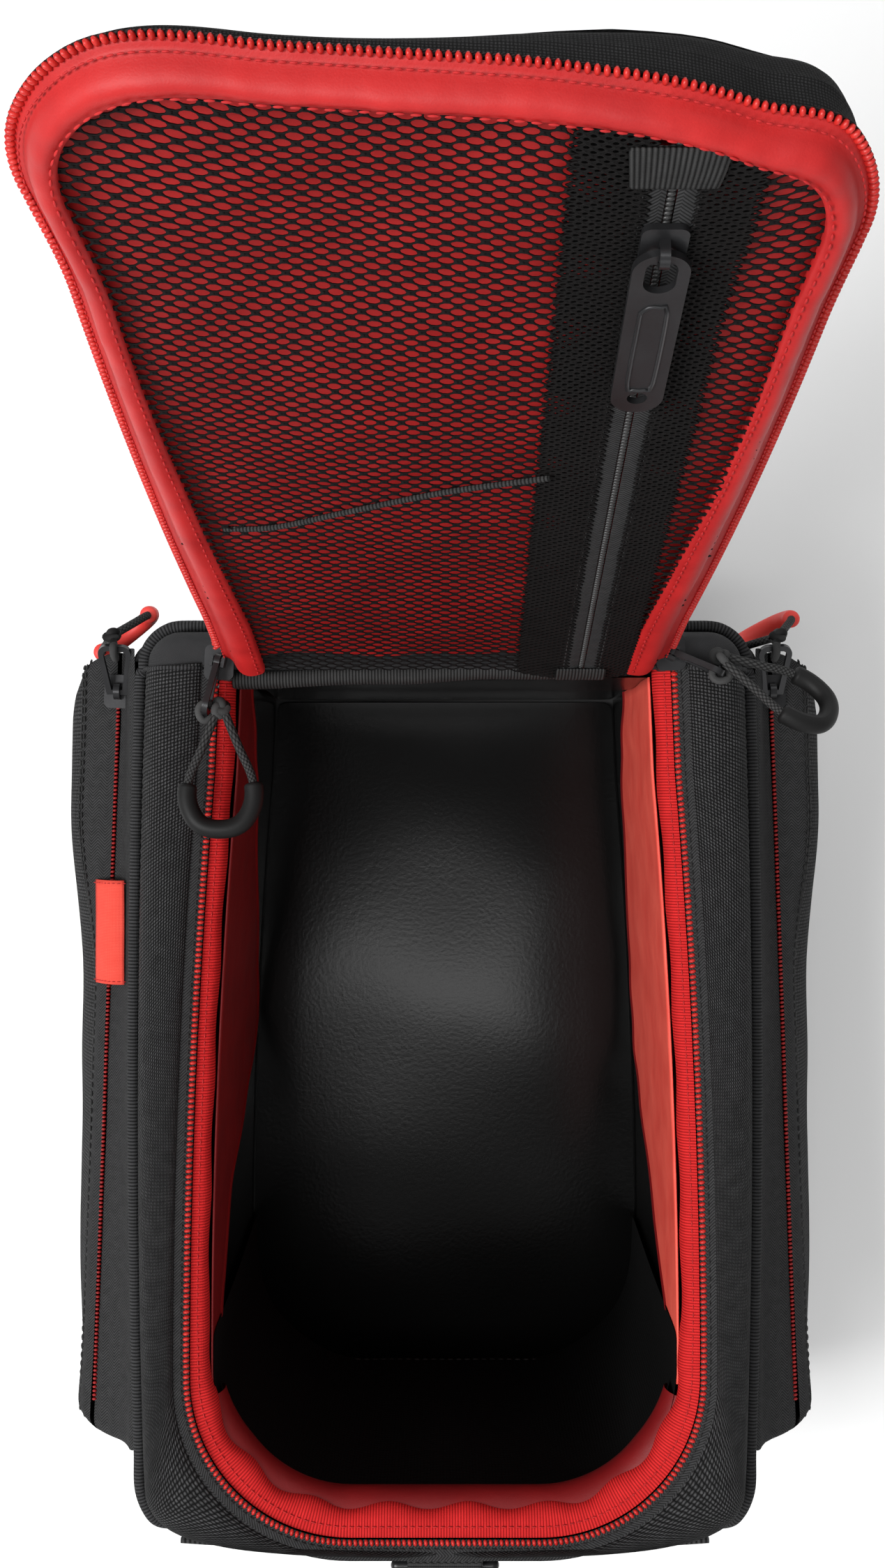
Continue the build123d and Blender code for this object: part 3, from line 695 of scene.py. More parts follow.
def make_piping():
    """Corded piping in the rim's seam, down the front corners and along the rear."""
    side = body_u_path(2.3)
    rear = body_rear_path(1.8)
    left = [(x, y, 153.6) for x, y in side[: len(side) // 2] if y > -134]
    back = [(x, y, 154.2 + 1.6 * min(1.0, i / 20)) for i, (x, y) in enumerate(rear[: len(rear) // 2 + 1])]
    path = curve_through([*PIPING_CORNER[::-1], *left[::-1][::3], *back[::3]], 1.5)
    for label, sign in SIDES:
        points = path if sign < 0 else mirrored(path)
        piece = tube_mesh(f"piping_{label}_cord", points, 1.9)
        place_piece(piece, "black_piping", "bag", replaces=[f"piping_{label}"])
    for label, sign in SIDES:
        edge = body_u_path(-0.3)
        seam = [(sign * -x, y, SEAM_Z + 2.2) for x, y in edge[: len(edge) // 2] if y > -132]
        stitches(f"rim_seam_{label}", seam, pitch=3.2, up=(sign, 0, 0.6))


def make_base():
    """The base and its board stay as they are in the CAD model, with their own finishes."""
    set_finish("base_panel", "grip_fabric")
    set_finish("base_board", "board_plastic")


def set_finish(node, material, bevel=0.0):
    """A better finish, and softer edges, for a node that stays."""
    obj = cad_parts[node]
    obj.data.materials.clear()
    obj.data.materials.append(MATERIALS[material])
    if bevel:
        made = obj.modifiers.new("edges", "BEVEL")
        made.width = bevel * MM
        made.segments = 2
        made.limit_method = "ANGLE"


# ---------------------------------------------------------------- main zip on the body

def front_share(y):
    """0 along the sides, rising to 1 along the front."""
    return max(0.0, min(1.0, (-70 - y) / 50))


def ribbon_rows(profile, wave_height=0.0):
    """Rows of a ribbon round the opening; profile has (offset, height) pairs."""
    rows = []
    for step, (offset, z) in enumerate(profile):
        row = []
        down = step / len(profile)
        for i, (_, y) in enumerate(u_path(offset)):
            share = front_share(y)
            sway = wave_height * (0.35 + share) * math.sin(i * 0.62) * down
            droop = 1.0 + 0.55 * share
            row.append((*u_path_point(i, offset * droop + sway), z - 0.8 * share * down))
        rows.append(row)
    return rows


@lru_cache(maxsize=None)
def kept_u_path(offset, back_y):
    """The opening's outline, worked out once for each offset."""
    return u_path(offset, back_y)


def u_path_point(index, offset, back_y=HINGE_Y):
    """One point of the opening's outline at an offset of its own."""
    return kept_u_path(round(offset, 2), back_y)[index]


def coil(name, path, body, material, replaces, up=(0, 0, 1), size=TOOTH_SIZE, pitch=TOOTH_PITCH):
    """A nylon zip coil: one rounded bead for each turn of the coil."""
    obj = bead_row(name, walk(path, pitch), size, up, lean=TOOTH_LEAN)
    place_piece(obj, material, body, replaces=[replaces])


TAPE_PROFILE = ((0.4, 170.0), (1.6, 170.5), (3.2, 170.9), (5.0, 171.3), (6.4, 171.8))
BINDING_PROFILE = ((0.2, 168.9), (-0.8, 168.5), (-2.2, 168.2), (-3.6, 167.4), (-4.6, 165.6),
                   (-4.9, 163.2), (-4.6, 161.2))
FLANGE_PROFILE = ((-6.0, 163.6), (-8.4, 162.4), (-10.6, 159.5), (-11.4, 154.0), (-8.0, 150.0))


def make_body_zip():
    """Tape, coil, stitching and bindings round the opening."""
    rows = [[(x, y, z) for x, y in u_path(offset)] for offset, z in TAPE_PROFILE]
    cloth("body_zip_tape", rows, "black_tape", replaces=["main_zip_tape"], flip=True, soft=False)
    line = [(x, y, RIM_Z + TOOTH_LIFT) for x, y in u_path(TOOTH_OFFSET)]
    coil("body_coil", line, "bag", "red_coil", "main_coil")
    seam = [(x, y, 171.4) for x, y in u_path(3.0)]
    stitches("tape_seam", seam, pitch=2.6, size=(1.9, 0.5, 0.4))
    rows = ribbon_rows(BINDING_PROFILE, 1.1)
    cloth("red_binding_strip", rows, "red_binding", replaces=["opening_binding"])
    seam = ribbon_rows(((-1.8, 168.4),))[0]
    stitches("binding_seam", seam, red_slot="red_binding", pitch=2.4, size=(1.7, 0.45, 0.4))
    front = [(i, front_share(y)) for i, (_, y) in enumerate(kept_u_path(0, HINGE_Y)) if y < -96]
    rows = [[(*u_path_point(i, offset * (0.55 + 0.45 * share)), z) for i, share in front]
            for offset, z in FLANGE_PROFILE]
    cloth("red_flange", rows, "dark_red_lining")


# Cross-section of the black binding at the hinge: (y, height)
HINGE_PROFILE = ((129.4, 164.6), (129.7, 167.6), (131.0, 169.2), (133.0, 169.6), (134.6, 169.0),
                 (135.2, 166.8))


def make_hinge():
    """Black ribbed binding at the hinge, and the cloth that joins the lid to the bag."""
    columns = steps(-67, 64, 45)
    slant = [2.3 * x / 65 + bumpiness(x, 0, 0, 22, 0.7) for x in columns]
    rows = [[(x, y + s, z) for x, s in zip(columns, slant)] for y, z in HINGE_PROFILE]
    cloth("hinge_strip", rows, "black_binding", replaces=["hinge_binding"])
    rows = [[(x, 133.0 + s * 0.5, 168.6) for x, s in zip(columns, slant)]]
    rows += [[(x, y, z) for x in columns] for y, z in ((137.4, 169.4), (139.4, 172.6))]
    rows += [[lid_point(x, HINGE_Y - q, w) for x in columns] for q, w in ((7, 0.6), (11, 1.6), (16, 2.6))]
    joined = cloth("hinge_cloth", rows, "black_liner_cloth", None)
    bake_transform(joined)
    rows = [[(x, y, z) for x in columns] for y, z in ((136.5, 168.4), (140.5, 168.8), (143.6, 171.4))]
    rows += [[lid_point(x, HINGE_Y - q, w) for x in columns] for q, w in ((8, 4.5), (12, 6.5), (17, 8.6))]
    cover = cloth("hinge_cover", rows, "black_weave", None, flip=True)
    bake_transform(cover)
    for label, sign in SIDES:
        x = side_x(TOOTH_OFFSET, HINGE_Y) * sign
        turn = [(x, 130, RIM_Z + TOOTH_LIFT), (x, 136.0, 170.5), (x * 0.998, 139.6, 172.4),
                (x * 0.995, 141.6, 176.5), lid_point(sign * side_x(-TOOTH_OFFSET, 121), 121, 0.0)]
        teeth = walk(curve_through(turn, 1.0), TOOTH_PITCH)
        piece = bead_row(f"zip_turn_{label}", teeth, TOOTH_SIZE, up=(0, -0.6, 0.8))
        place_piece(piece, "red_coil", None)
        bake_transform(piece)


# ---------------------------------------------------------------- inside of the bag

# Lower edge of the red side linings: (y, height) from the rear to the front
LINING_EDGE = {
    -1: ((130, 126), (103, 96), (64, 62), (30, 36), (4, 22), (-10, 42), (-41, 108), (-74, 136),
         (-100, 146)),
    1: ((133, 73), (103, 50), (63, 34), (20, 27), (-8, 32), (-30, 58), (-58, 95), (-78, 130),
        (-100, 146)),
}
LINING_TOP_OFFSET = -5.9
LINING_LOW_OFFSET = -3.4
LINING_LOW = 9.0
LINING_TOP = 163.0
LINING_REAR_Y = 131.0
LINING_FRONT_Y = CORNER_Y - CORNER_R - LINING_LOW_OFFSET  # the front wall's lining, at the floor
FRONT_LINING_Y = -84.0  # where the side linings' hems end


def level_at(points, y):
    """Height at y of a line through (y, height) points."""
    for (ya, za), (yb, zb) in zip(points, points[1:]):
        if y >= yb:
            share = max(0.0, min(1.0, (ya - y) / (ya - yb)))
            return za + (zb - za) * share
    return points[-1][1]


def lining_point(sign, y, z, push=0.0):
    """A point on a side wall's lining, pushed outwards."""
    share = (LINING_TOP - z) / (LINING_TOP - LINING_LOW)
    offset = LINING_TOP_OFFSET + (LINING_LOW_OFFSET - LINING_TOP_OFFSET) * share + push
    folds = 0.8 * math.sin(y * 0.21 + 2.2 * math.sin(y * 0.05)) * math.sin(math.pi * share)
    return (sign * (half_width(offset, y) + 0.35 * folds), y, z)


def make_linings():
    """Red cloth on the side walls, black liner cloth behind and in front of it, and the floor."""
    for label, sign in SIDES:
        edge = LINING_EDGE[sign]
        ys = steps(LINING_REAR_Y, -94, 76)
        columns = [[lining_point(sign, y, z) for z in steps(LINING_TOP, level_at(edge, y), 23)] for y in ys]
        # Painted light and shade: the left lining gets the darker, shaded copy of the red cloth, the right
        # lining the lighter, lit copy
        red_with_painted_light = "dark_red_lining" if sign < 0 else "red_side_cloth"
        lining = cloth(f"red_side_lining_{label}", list(zip(*columns)), red_with_painted_light,
                       replaces=[f"side_lining_{label}"], flip=sign > 0, soft=False)
        thicken(lining, 0.6, 0.0)
        rows = [[lining_point(sign, y, level_at(edge, y) + rise, push) for y in ys if y > FRONT_LINING_Y + 2]
                for rise, push in ((-0.6, -0.3), (1.2, -0.8), (4.0, -0.8), (5.0, -0.2))]
        cloth(f"lining_hem_{label}", rows, "dark_red_lining", flip=sign > 0, soft=False)
        rows = [[lining_point(sign, y, z, 0.9) for y in steps(LINING_REAR_Y, -124, 52)]
                for z in steps(LINING_TOP, LINING_LOW, 13)]
        cloth(f"liner_wall_{label}", rows, "black_gloss_liner", flip=sign > 0, soft=False)
    front = [i for i, (_, y) in enumerate(u_path(0)) if y < FRONT_LINING_Y + 10]
    heights = steps(LINING_TOP, LINING_LOW, 13)
    offsets = steps(LINING_TOP_OFFSET - 0.6, LINING_LOW_OFFSET - 0.6, 13)
    rows = []
    for k, (z, offset) in enumerate(zip(heights, offsets)):
        folds = [0.6 * math.sin(i * 0.4) * math.sin(k * 0.3) for i in front]
        rows.append([(*u_path_point(i, offset + fold), z) for i, fold in zip(front, folds)])
    cloth("front_lining_cloth", rows, "black_liner_cloth", replaces=["front_lining"])
    make_floor_liner()


def make_floor_liner():
    """Coated floor, slightly crowned, and the liner's back wall below the hinge."""
    rows = []
    for j in range(41):
        y = max(130 - 6.7 * j, LINING_FRONT_Y + 0.2)
        half = half_width(LINING_LOW_OFFSET + 0.3, y)
        crown = 2.2 * math.cos(math.radians(y * 0.6))
        rows.append([(half * s, y, 9.2 + crown * (1 - s * s) + bumpiness(half * s, y, 0, 60, 0.7))
                     for s in steps(-1, 1, 25)])
    cloth("floor_sheet", rows, "black_gloss_liner", replaces=["floor_liner"], flip=True)
    half = side_x(LINING_TOP_OFFSET, LINING_REAR_Y)
    rows = [[(half * s, 130.6 + 0.6 * math.sin(k), z) for s in steps(-1, 1, 21)]
            for k, z in enumerate(steps(166.5, 8.5, 15))]
    cloth("back_lining", rows, "black_gloss_liner")
    seam = [(x, LINING_FRONT_Y + 0.8, 11.4) for x in range(-52, 53, 4)]
    stitches("floor_seam", seam, pitch=3.4)


# ---------------------------------------------------------------- side pockets

def pocket_zip_x(y):
    """The pocket zip's distance from the bag's middle at y."""
    slope = (ZIP_FRONT[0] - ZIP_REAR[0]) / (ZIP_REAR[1] - ZIP_FRONT[1])
    return ZIP_REAR[0] + (ZIP_REAR[1] - y) * slope


def pocket_reach(y):
    """How far out the pocket goes at y, with its rounded ends."""
    outer = 127.2 + 2.0 * eased(30, 90, y)
    near_end = min(y - POCKET_FRONT, POCKET_REAR - y)
    if near_end >= POCKET_CORNER_R:
        return outer
    sunk = POCKET_CORNER_R - max(0.0, near_end)
    return outer - POCKET_CORNER_R + math.sqrt(max(0.0, POCKET_CORNER_R**2 - sunk**2))


# A pocket's cross-section: whether x counts from the zip, x, how much it widens towards the rear,
# height, how much that rises towards the rear
POCKET_SECTIONS = {
    "inner_tape": ((0, 100.6, 0, 153.2, 0), (0, 102.6, 0, 152.0, 0), (0, 104.4, 0, 147.5, 0),
                   (1, -3.0, 0, 143.2, 0), (1, -0.7, 0, 141.6, 0)),
    "outer_tape": ((1, 0.7, 0, 141.6, 0), (1, 2.4, 2.0, 140.8, 0.6), (1, 4.7, 4.8, 139.2, 1.0),
                   (1, 5.4, 7.4, 136.6, 1.6)),
    "shell": ((1, 5.0, 7.2, 136.9, 2.0), (1, 6.2, 8.2, 135.0, 1.2), (0, 121.0, 5.0, 129.5, 0),
              (0, 124.6, 3.2, 120.0, 0), (0, 126.6, 2.2, 108.0, 0), (0, 127.2, 2.0, 94.0, 0),
              (0, 127.0, 1.6, 70.0, 0), (0, 126.0, 1.0, 44.0, 0), (0, 124.0, 0, 30.0, 0),
              (0, 119.0, 0, 22.0, 0), (0, 111.0, 0, 20.2, 0), (0, 99.5, 0, 20.0, 0)),
}


def pocket_section(y, part):
    """Points (x, z) of one part of the pocket's cross-section at y, from the inside outwards."""
    zip_x = pocket_zip_x(y)
    wide = eased(30, 90, y)
    reach = pocket_reach(y)
    points = []
    for beside_zip, x, widening, z, rise in POCKET_SECTIONS[part]:
        x += widening * wide + (zip_x if beside_zip else 0.0)
        points.append((min(x, reach), z + rise * wide))
    return points


def end_lean(y, z):
    """How far the pocket's two ends lean back at height z."""
    return (12.0 * eased(60, 131, -y) + 5.0 * eased(112, 134, y)) * eased(60, 138, z)


def pocket_ys():
    """Stations along the pocket, closer together at its rounded ends."""
    ends = (0.0, 0.6, 1.6, 3.2, 5.4, 8.2, 11.6, 15.6, 20.0, 25.0)
    front = [POCKET_FRONT + e for e in ends]
    rear = [POCKET_REAR - e for e in ends[::-1]]
    return front + steps(front[-1], rear[0], 41)[1:-1] + rear


# Part of a pocket: its finish, the CAD node it replaces, its name, its unevenness
POCKET_PARTS = {
    "shell": ("black_weave", "pocket", "pocket", 1.3),
    "inner_tape": ("black_tape", "pocket_zip_tape", "inner", 0.5),
    "outer_tape": ("black_tape", None, "outer", 0.5),
}
WALL_X = 99.5  # the pockets' ends are closed against the bag's walls here


def make_pocket(label, sign):
    """Woven shell, herringbone tape, coil and double stitching of one side pocket."""
    ys = pocket_ys()
    for part, (material, node, name, unevenness) in POCKET_PARTS.items():
        columns = []
        for y in ys:
            column = []
            for x, z in pocket_section(y, part):
                puff = bumpiness(x, y, z, 34, unevenness)
                column.append((sign * (x + 0.7 * puff), y + end_lean(y, z), z + 0.3 * puff))
            columns.append(column)
        if part == "shell":
            columns.insert(0, [(sign * WALL_X, ys[0] - 0.1, p[2]) for p in columns[0]])
            columns.append([(sign * WALL_X, ys[-1] + 0.1, p[2]) for p in columns[-1]])
        nodes = [f"{node}_{label}"] if node else ()
        rows = list(zip(*columns))
        piece = cloth(f"pocket_{name}_{label}", rows, material, replaces=nodes, flip=sign < 0)
    line = [(sign * pocket_zip_x(y), y, 142.0) for y in range(-106, 133, 4)]
    coil(f"pocket_zip_{label}", line, "bag", "dark_red_coil", f"pocket_coil_{label}", pitch=1.35,
         size=(0.95, 1.5, 1.2))
    for number, share in enumerate((0.62, 0.9)):
        path = []
        for y in ys[3:-3]:
            (ax, az), (bx, bz) = pocket_section(y, "outer_tape")[2:]
            x, z = ax + (bx - ax) * share, az + (bz - az) * share + 0.5
            path.append((sign * x, y + end_lean(y, az), z))
        stitches(f"pocket_seam_{label}_{number}", path, pitch=2.9, size=(2.1, 0.9, 0.8),
                 up=(sign, 0, 0.8))


def make_tag():
    """Blank red tag sewn into the seam beside the left pocket's zip."""
    low, high = (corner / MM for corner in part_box("side_tag"))
    rows = []
    for share in steps(0, 1, 11):
        x = high.x + 2.0 - (high.x - low.x + 1.5) * share
        z = high.z + 4.6 - 8.2 * share + 2.6 * math.sin(math.pi * share)
        rows.append([(x, y, z + 0.25 * math.sin(i * 0.5)) for i, y in enumerate(steps(low.y, high.y, 17))])
    tag = cloth("blank_tag", rows, "red_tag", replaces=["side_tag"], soft=False)
    thicken(tag, 0.5)
    for number, y in enumerate((low.y + 1.0, high.y - 1.0)):
        path = [(row[0][0], y, row[0][2] + 0.35) for row in rows]
        stitches(f"tag_seam_{number}", path, red_slot="red_tag", pitch=1.8, size=(1.3, 0.35, 0.3))


# ---------------------------------------------------------------- lid

def lid_rows(profile, back_y):
    """Rows that follow the lid's edge; profile has (offset, w) pairs."""
    return [[lid_point(x, y, w) for x, y in u_path(offset, back_y)] for offset, w in profile]


def lid_grid(w_at, back_y):
    """Rows across the closed lid inside its coil, with a height from w_at(x, y)."""
    end = CORNER_Y - CORNER_R - LID_INSET
    rows = []
    for share in steps(0, 1, 61):
        if share > 0.7:
            share = 1 - (1 - share) ** 1.25 * 0.3 / 0.3**1.25  # closer together at the rounded end
        y = back_y + (end - back_y) * share
        half = half_width(LID_INSET, y)
        rows.append([lid_point(half * s, y, w_at(half * s, y)) for s in steps(-1, 1, 41)])
    return rows


# The lid's cross-sections, from the coil inwards: (offset from the opening's outline, height)
BAND_PROFILE = ((-2.0, 0.2), (-3.2, 0.9), (-3.0, 2.2), (-3.4, 4.4), (-2.9, 4.9), (-3.6, 5.5),
                (-4.2, 7.4), (-6.4, 9.0), (-9.0, 9.6))
BORDER_PROFILE = ((-2.0, -0.2), (-3.2, -0.9), (-5.4, -1.3), (-6.6, -3.2), (-8.4, -5.8), (-11.5, -7.0),
                  (-14.2, -6.9), (-16.2, -6.4), (-17.6, -6.2), (-18.4, -5.4), (-18.2, -3.6))
BORDER_EDGE = -2.0
LID_INSET = -9.0  # where the lid's panel and lining end, inside the opening's outline
LID_IN = -LID_OUT


def make_lid_shell():
    """Outer panel and the black edge band outside the lid's coil."""
    rows = lid_rows(BAND_PROFILE, HINGE_Y - 12)
    cloth("lid_side_band", rows, "edge_band", "lid", replaces=["lid_edge_band"])

    def panel_w(x, y):
        return 9.6 + 1.6 * (1 - (x / 80) ** 2) + bumpiness(x, y, 0, 40, 0.8)

    rows = lid_grid(panel_w, HINGE_Y - 12)
    panel = cloth("lid_panel", rows, "black_weave", "lid", replaces=["lid_outer_panel", "lid_foam"])
    seam = lid_rows(((-10.5, 10.0),), HINGE_Y - 14)[0]
    stitches("lid_panel_seam", seam, "lid", pitch=3.2, up=LID_OUT)


def make_lid_zip():
    """The lid's half of the main zip."""
    rows = lid_rows(((-0.4, 0.0), (-2.4, 0.5), (-4.6, 0.9)), HINGE_Y - 13)
    cloth("lid_tape", rows, "black_tape", "lid", replaces=["lid_zip_tape"], soft=False)
    line = lid_rows(((-TOOTH_OFFSET, -TOOTH_LIFT),), HINGE_Y - 14)[0]
    coil("lid_teeth", line, "lid", "red_coil", "lid_coil", up=LID_IN)


def border_point(i, y, inset, back_y):
    """A point (x, y) of the border inset from its outer edge; it narrows towards the free end."""
    return u_path_point(i, round(BORDER_EDGE + inset * (0.50 + 0.30 * eased(-60, 110, y)), 1), back_y)


def make_lid_border():
    """Padded red border inside the coil, with its stitched inner edge."""
    rows = []
    for j, (offset, w) in enumerate(BORDER_PROFILE):
        row = []
        fullness = math.sin(math.pi * j / (len(BORDER_PROFILE) - 1))
        for i, (_, y) in enumerate(u_path(BORDER_EDGE, HINGE_Y - 6)):
            x, y = border_point(i, y, offset - BORDER_EDGE, HINGE_Y - 6)
            pucker = bumpiness(x, y, j * 3, 16, 0.7) + 0.16 * math.sin(i * 1.9)
            row.append(lid_point(x, y, w + pucker * fullness))
        rows.append(row)
    border = cloth("red_border", rows, "red_lining", "lid", replaces=["lid_border"])
    seam = [lid_point(*border_point(i, y, -14.0, HINGE_Y - 8), -6.9)
            for i, (_, y) in enumerate(u_path(BORDER_EDGE, HINGE_Y - 8))]
    stitches("border_seam", seam, "lid", "red_lining", size=(2.1, 0.7, 0.5), up=LID_IN)
    seam = lid_rows(((-2.9, -2.4),), HINGE_Y - 10)[0]
    stitches("border_edge_seam", seam, "lid", "red_lining", pitch=2.0, size=(1.5, 0.6, 0.5),
             up=LID_IN)

    def lining_w(x, y):
        return -0.6 + bumpiness(x, y * 0.6, 5, 30, 2.0) + bumpiness(x + y, (x - y) * 0.3, 9, 14, 0.8)

    rows = lid_grid(lining_w, HINGE_Y - 8)
    cloth("lid_red_lining", rows, "red_lining", "lid", replaces=["lid_lining"], flip=True)


def mesh_height(x, y):
    """How far the mesh stands off the lid: most beside its zip, which sits flat on the CAD tape."""
    beside = math.exp(-(((x - MESH_ZIP_X) / 17) ** 2))
    reach = (HINGE_Y - y) / LID_DEPTH
    sag = 1.4 * math.sin(math.pi * min(1.0, reach)) * (1 - beside)
    folds = bumpiness(x, y, 3, 45, 1.2) * (1 - beside)
    return -4.0 - sag - (3.2 - LID_TWIST * reach * x / TWIST_X) * beside + folds


def net(name, cell, hole, inside, lift, swing=0.0, replaces=()):
    """A knitted mesh: staggered oval holes in a thin sheet, lifted off the mesh pocket's height.
    cell is the holes' pitch along x and y, and hole the half sizes of one hole."""
    verts, faces, index = [], [], {}
    sides = 10

    def corner(x, y):
        key = (round(x, 3), round(y, 3))
        if key not in index:
            index[key] = len(verts)
            sway = swing * noise.noise(Vector((x, y, 1)) / 6)
            verts.append(lid_point(x + sway, y + sway, mesh_height(x, y) + lift))
        return index[key]

    half_x, half_y = cell[0] / 2, cell[1] / 2
    for row in range(int(2 * LID_DEPTH / cell[1]) + 2):
        y = HINGE_Y - row * half_y
        for column in range(-60, 61):
            x = (column + 0.5 * (row % 2)) * cell[0]
            if not inside(x, y):
                continue
            outer, inner = [], []
            for turn in steps(0, 2 * math.pi, sides + 1)[:-1]:
                dx, dy = math.cos(turn), math.sin(turn)
                edge = 1 / (abs(dx) / half_x + abs(dy) / half_y)
                outer.append(corner(x + dx * edge, y + dy * edge))
                inner.append(corner(x + dx * hole[0], y + dy * hole[1]))
            for k in range(sides):
                after = (k + 1) % sides
                faces.append((outer[k], outer[after], inner[after], inner[k]))
    place_piece(thicken(mesh_object(name, verts, faces), 0.35, 0.0), "black_mesh", "lid", replaces=replaces)


def make_mesh_pocket():
    """Black diamond mesh over the lid's lining, a doubled strip of it, and the pocket's zip."""
    band_start, band_end = MESH_BAND

    def between_ends(y):
        return CORNER_Y - CORNER_R + 8 < y < HINGE_Y - 5

    def open_area(x, y):
        clear = x < band_start + 2 or x > band_end - 2
        return clear and between_ends(y) and abs(x) < half_width(-8.5, y)

    def strip_area(x, y):
        left = band_start < x < MESH_ZIP_X - 5
        right = MESH_ZIP_X + 5 < x < min(band_end, half_width(-10, y))
        return (left or right) and between_ends(y)

    net("mesh_net", (5.0, 4.0), (1.72, 1.32), open_area, 0.0, 0.5, ["lid_mesh"])
    net("mesh_strip", (2.6, 2.2), (0.62, 0.5), strip_area, -0.5, 0.4, ["lid_mesh_band"])
    net("mesh_strip_under", (2.9, 2.4), (0.6, 0.5), strip_area, 0.6)
    make_mesh_zip()


def zip_line(x, drop):
    """A line along the mesh pocket's zip, x beside it and drop nearer to the lid than its face."""
    return [unturned_lid_point(MESH_ZIP_X + x, y, MESH_W + drop) for y in steps(124, -117, 61)]


def make_mesh_zip():
    """Two herringbone tapes, the coil between them and the cloth tabs at both ends."""
    for label, sign in SIDES:
        edges = ((TAPE_HALF, 0.7), (TAPE_HALF - 2, 0.1), (2.4, -0.1), (1.0, 0.3))
        rows = [zip_line(sign * x, drop) for x, drop in edges]
        replaced = ["mesh_zip_tape"] if sign < 0 else ()
        cloth(f"mesh_tape_{label}", rows, "black_tape", "lid", replaces=replaced, flip=sign > 0, soft=False)
        seam = zip_line(sign * 5.4, -0.1)
        stitches(f"mesh_tape_seam_{label}", seam, "lid", pitch=2.8, size=(2.0, 0.6, 0.5), up=LID_IN)
    coil("mesh_teeth", zip_line(0, 0.9), "lid", "black_coil", "mesh_coil", up=LID_IN, pitch=1.4,
         size=(1.1, 2.2, 1.6))
    for label, start, end, near, far in (("front", -106, -117, 8.2, 9.4), ("rear", 121, 129, 7.6, 7.6)):
        rows = []
        for share, y, half in zip(steps(0, 1, 9), steps(start, end, 9), steps(near, far, 9)):
            w = MESH_W - 0.3 - 0.5 * math.sin(math.pi * share)
            rows.append([unturned_lid_point(MESH_ZIP_X + x, y, w) for x in steps(-half, half, 13)])
        thicken(cloth(f"mesh_zip_end_{label}", rows, "black_binding", "lid", flip=label == "front"), 0.5)


def make_mesh_dark_line():
    """Thin black tube across the mesh, a third of the way up the lid."""
    points = ((-58, 38, -4.6), (-44, 33, -6.4), (-24, 23, -6.6), (0, 12, -6.4), (25, 1, -7.6))
    path = curve_through([lid_point(*point) for point in points], 2.0)
    place_piece(tube_mesh("mesh_dark_line", path, 0.8, sides=8), "black_binding", "lid")


# ---------------------------------------------------------------- pulls

# Route of a pull's cord in its own plane, as in the CAD model: out of the knot, down one leg,
# round the grip and back
PULL_ROUTE = ((-1.6, -2.5), (-5.4, -12.6), (-10.3, -22.6), (-10.3, -31.0), (-5.6, -38.0),
              (5.6, -38.0), (10.3, -31.0), (10.3, -22.6), (5.4, -12.6), (1.6, -2.5))
# How each pull hangs: the way its cord runs from the knot, and the way across its loop
PULL_HANG = {
    "main_left": ((0.02, -1, 0.14), (1, 0.02, 0)),
    "main_right": ((0.88, -0.47, 0.0), (0.41, 0.57, -0.71)),
    "pocket_left": ((0, 0.12, -1), (0.78, 0.62, 0)),
    "pocket_right": ((0, 0.12, -1), (0.87, 0.48, 0)),
}


def box_centre(node):
    """The middle of a CAD node's box, in millimetres."""
    low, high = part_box(node)
    return (low + high) / 2 / MM


def spline_curve(name, points, radius):
    """A smooth cord whose control points are the given ones, in millimetres."""
    data = bpy.data.curves.new(name, "CURVE")
    data.dimensions = "3D"
    data.bevel_depth = radius * MM
    data.bevel_resolution = 4
    data.resolution_u = 8
    spline = data.splines.new("NURBS")
    spline.points.add(len(points) - 1)
    for target, point in zip(spline.points, points):
        target.co = (*(Vector(point) * MM), 1)
    spline.order_u = 3
    spline.use_endpoint_u = True
    obj = bpy.data.objects.new(name, data)
    bpy.context.scene.collection.objects.link(obj)
    return obj


def spline_points(points):
    """Points on the smooth line that a cord with these control points follows."""
    guide = spline_curve("guide", points, 0.0)
    bpy.context.view_layer.update()
    line = bpy.data.meshes.new_from_object(guide.evaluated_get(bpy.context.evaluated_depsgraph_get()))
    found = [v.co / MM for v in line.vertices]
    bpy.data.objects.remove(guide)
    return found


def make_pull(kind, side, grip_material):
    """Cord, knot and moulded grip of one pull, hanging from its metal tab."""
    body = f"{kind}_pull_{side}"
    origin = box_centre(f"{kind}_knot_{side}")
    along, across = (Vector(v).normalized() for v in PULL_HANG[f"{kind}_{side}"])
    across = (across - along * across.dot(along)).normalized()
    normal = across.cross(along)

    def at(x, y, z=0.0):
        return origin + across * x - along * y + normal * z

    route = [at(x, y) for x, y in PULL_ROUTE]
    cord = spline_curve(f"{kind}_cord_loop_{side}", route, CORD_D / 2)
    place_piece(cord, "black_cord", body, replaces=[f"{kind}_cord_{side}"])
    bend = [p for p in spline_points(route) if (p - origin).dot(along) > 0.2 - GRIP_START]
    grip = tube_mesh(f"{kind}_grip_moulding_{side}", bend, GRIP_D / 2, sides=20)
    place_piece(soften(grip), grip_material, body, replaces=[f"{kind}_grip_{side}"])
    winds = []
    for turn in steps(0, 2 * math.pi, 61):
        radius = 1.35 + 0.7 * math.cos(3 * turn)
        x, y = radius * math.cos(2 * turn), radius * math.sin(2 * turn) * 1.2 - 0.4
        winds.append(at(x, y, 1.1 * math.sin(3 * turn)))
    knot = tube_mesh(f"{kind}_cord_knot_{side}", winds, 1.25, sides=10, closed=True)
    place_piece(knot, "black_cord", body, replaces=[f"{kind}_knot_{side}"])
    make_hitch(kind, side, body, origin)


